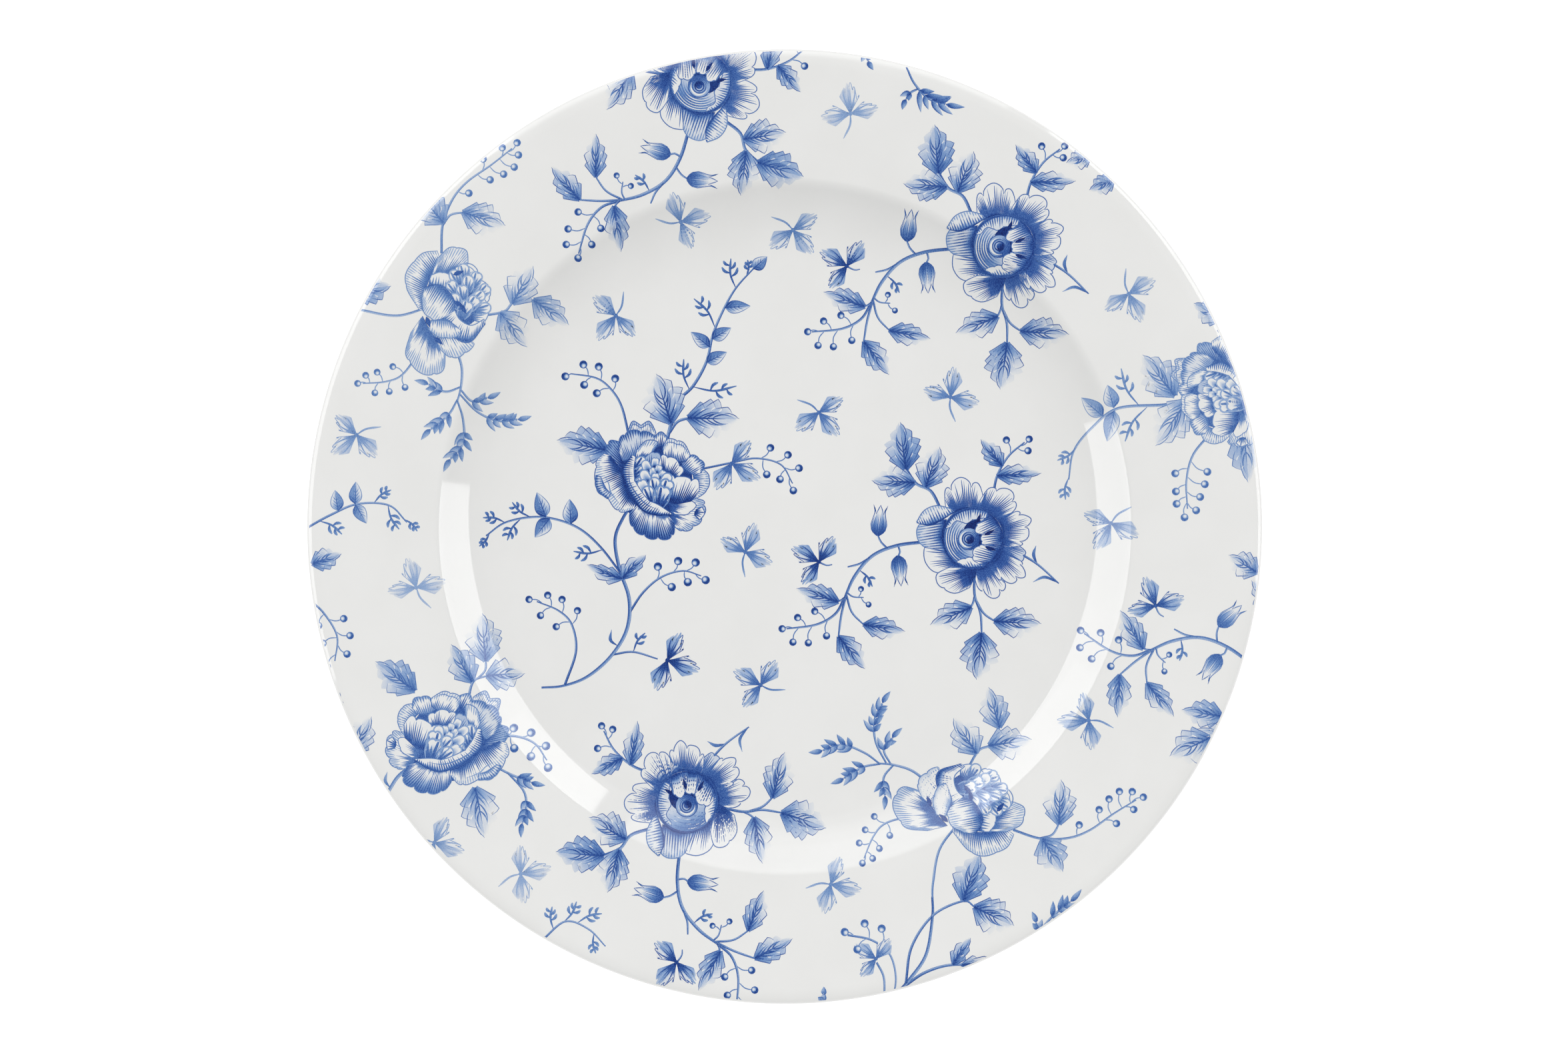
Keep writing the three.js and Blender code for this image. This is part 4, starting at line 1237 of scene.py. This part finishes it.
def bump(tree, shader, height, strength, distance):
    """Relief on a shader's normal, from a height times a distance in metres."""
    node = tree.nodes.new("ShaderNodeBump")
    node.inputs["Strength"].default_value = strength
    node.inputs["Distance"].default_value = distance
    tree.links.new(height, node.inputs["Height"])
    tree.links.new(node.outputs["Normal"], shader.inputs["Normal"])


GLAZE_WHITE = [(0.35, (0.8, 0.8, 0.786)), (0.65, (0.815, 0.815, 0.802))]
INK = [(0.0, (0.62, 0.67, 0.74)), (0.22, (0.44, 0.525, 0.68)), (0.38, (0.27, 0.39, 0.62)),
       (0.54, (0.12, 0.235, 0.5)), (0.7, (0.042, 0.115, 0.37)), (0.84, (0.011, 0.05, 0.25)),
       (1.0, (0.004, 0.011, 0.1))]
FIRED_CLAY = [(0.3, (0.66, 0.62, 0.54)), (0.55, (0.76, 0.73, 0.66)), (0.75, (0.8, 0.78, 0.72))]
INK_COVERS = 0.22  # the tone below which the ink thins out to bare glaze
GLAZE_MOTTLE = 60  # cells per metre of the glaze's faint unevenness in colour


def gloss(tree, shader):
    """The clear glaze's finish, the same on bare glaze and on the prints."""
    shader.inputs["Roughness"].default_value = 0.055
    shader.inputs["IOR"].default_value = 1.5
    bump(tree, shader, noise(tree, scale=45, detail=1.0), strength=0.25, distance=0.00012)


def make_glaze():
    """White clay under clear glaze, as one opaque glossy surface."""
    material, tree, shader = new_material("white_glaze")
    tree.links.new(ramp(tree, noise(tree, GLAZE_MOTTLE), GLAZE_WHITE), shader.inputs["Base Color"])
    gloss(tree, shader)
    return material


def make_ink():
    """Cobalt ink under the glaze: its tone comes from the mesh and is broken up by a fine grain."""
    material, tree, shader = new_material("printed_ink")
    tone = tree.nodes.new("ShaderNodeAttribute")
    tone.attribute_name = "tone"
    grain = tree.nodes.new("ShaderNodeMapRange")
    for socket, value in (("From Min", 0.3), ("From Max", 0.7), ("To Min", 0.82), ("To Max", 1.16)):
        grain.inputs[socket].default_value = value
    tree.links.new(noise(tree, scale=3600, detail=2.0, roughness=0.7), grain.inputs["Value"])
    grained = tree.nodes.new("ShaderNodeMath")
    grained.operation = "MULTIPLY"
    tree.links.new(tone.outputs["Fac"], grained.inputs[0])
    tree.links.new(grain.outputs["Result"], grained.inputs[1])
    cover = tree.nodes.new("ShaderNodeMapRange")
    cover.inputs["From Max"].default_value = INK_COVERS
    tree.links.new(grained.outputs["Value"], cover.inputs["Value"])
    mix = tree.nodes.new("ShaderNodeMix")
    mix.data_type = "RGBA"
    tree.links.new(cover.outputs["Result"], mix.inputs["Factor"])
    tree.links.new(ramp(tree, noise(tree, GLAZE_MOTTLE), GLAZE_WHITE), mix.inputs["A"])
    tree.links.new(ramp(tree, grained.outputs["Value"], INK), mix.inputs["B"])
    tree.links.new(mix.outputs["Result"], shader.inputs["Base Color"])
    gloss(tree, shader)
    return material


def make_clay():
    """Bare fired clay, fine-grained and matt."""
    material, tree, shader = new_material("fired_clay")
    speckle = noise(tree, scale=900, detail=4.0, roughness=0.65)
    tree.links.new(ramp(tree, speckle, FIRED_CLAY), shader.inputs["Base Color"])
    shader.inputs["Roughness"].default_value = 0.85
    bump(tree, shader, noise(tree, scale=2500), strength=0.5, distance=0.0001)
    return material


# ---------------------------------------------------------------- Floor, lights and camera

# In metres
FLOOR_WIDTH = 6.0
LIGHT_DISTANCE = 1.8
LIGHT_STEP = 0.03  # between softboxes that stand one behind the other
LIGHT_FOOT = 0.06  # height of the softboxes' lower edges above the floor
CAMERA_AT = (-0.00019, 0.00113, 1.253)  # straight above a point very near the plate's axis


def make_floor():
    """A plain white floor that glows a little, so that only a faint shadow shows on it."""
    mesh = bpy.data.meshes.new("floor")
    half = FLOOR_WIDTH / 2
    corners = [(-half, -half, 0), (half, -half, 0), (half, half, 0), (-half, half, 0)]
    mesh.from_pydata(corners, [], [(0, 1, 2, 3)])
    floor = bpy.data.objects.new("floor", mesh)
    bpy.context.collection.objects.link(floor)
    material, _, shader = new_material("floor_white")
    shader.inputs["Base Color"].default_value = (0.8, 0.8, 0.8, 1)
    shader.inputs["Roughness"].default_value = 0.9
    shader.inputs["Specular IOR Level"].default_value = 0.0
    shader.inputs["Emission Color"].default_value = (1, 1, 1, 1)
    shader.inputs["Emission Strength"].default_value = 0.35
    mesh.materials.append(material)


def softbox(name, azimuth, half_width, top, radiance, only_mirrored=False, distance=LIGHT_DISTANCE):
    """An upright panel of light, placed and sized by the angles it is seen under from the plate, in degrees.
    A panel that is only mirrored shows in the glaze but gives no other light."""
    width = 2 * distance * math.tan(math.radians(half_width))
    high = distance * math.tan(math.radians(top))
    turn = math.radians(azimuth)
    place = (distance * math.cos(turn), distance * math.sin(turn), (high + LIGHT_FOOT) / 2)
    panel = light_panel(name, place, (math.cos(turn), math.sin(turn), 0), width, high - LIGHT_FOOT, radiance)
    panel.visible_diffuse = not only_mirrored


def light_panel(name, place, back, width, height, radiance):
    """A rectangle that shines evenly, away from the direction back. The camera doesn't see it."""
    light = bpy.data.lights.new(name, "AREA")
    light.shape, light.size, light.size_y = "RECTANGLE", width, height
    light.energy = radiance * math.pi * width * height
    panel = bpy.data.objects.new(name, light)
    panel.location = place
    panel.rotation_euler = Vector(back).to_track_quat("Z", "Y").to_euler()
    panel.visible_camera = False
    bpy.context.collection.objects.link(panel)
    return panel


def make_world(ambient, mirrored):
    """Even light from all round, with a darker room mirrored in the glaze. The camera sees plain white."""
    world = bpy.data.worlds.new("studio")
    bpy.context.scene.world = world
    world.use_nodes = True
    tree = world.node_tree
    tree.nodes.clear()
    output = tree.nodes.new("ShaderNodeOutputWorld")
    path = tree.nodes.new("ShaderNodeLightPath")
    shade = background(tree, ambient)
    for ray, strength in (("Is Glossy Ray", mirrored), ("Is Camera Ray", 1.0)):
        mix = tree.nodes.new("ShaderNodeMixShader")
        tree.links.new(path.outputs[ray], mix.inputs["Fac"])
        tree.links.new(shade, mix.inputs[1])
        tree.links.new(background(tree, strength), mix.inputs[2])
        shade = mix.outputs["Shader"]
    tree.links.new(shade, output.inputs["Surface"])


def background(tree, strength):
    """White light from all round."""
    node = tree.nodes.new("ShaderNodeBackground")
    node.inputs["Color"].default_value = (1, 1, 1, 1)
    node.inputs["Strength"].default_value = strength
    return node.outputs["Background"]


def make_camera():
    """A long lens straight above the plate, whose top is towards +Y."""
    data = bpy.data.cameras.new("camera")
    data.lens, data.sensor_width = 100, 36
    camera = bpy.data.objects.new("camera", data)
    camera.location = CAMERA_AT
    bpy.context.collection.objects.link(camera)
    bpy.context.scene.camera = camera


make_plate(make_glaze(), make_clay())
ink = make_ink()
for name, draw in PRINTS.items():
    make_print(name, draw, ink)

make_floor()
softbox("mirrored_right", azimuth=24.3, half_width=31.8, top=40, radiance=3.9, only_mirrored=True)
softbox("mirrored_left", azimuth=162.0, half_width=37.0, top=43, radiance=3.6, only_mirrored=True)
for step, top in enumerate((24, 34, 44, 54, 62)):
    softbox(f"mirrored_far_{step}", azimuth=95.0, half_width=33.0, top=top, radiance=0.5, only_mirrored=True,
            distance=LIGHT_DISTANCE + LIGHT_STEP * step)
softbox("fill_far", azimuth=95.0, half_width=60.0, top=50, radiance=0.5)
overhead = light_panel("overhead", (0, 0, 2.2), (0, 0, 1), width=3.0, height=3.0, radiance=0.55)
overhead.visible_glossy = False
make_world(ambient=0.745, mirrored=0.2)
make_camera()
bpy.context.scene.view_settings.view_transform = "Standard"
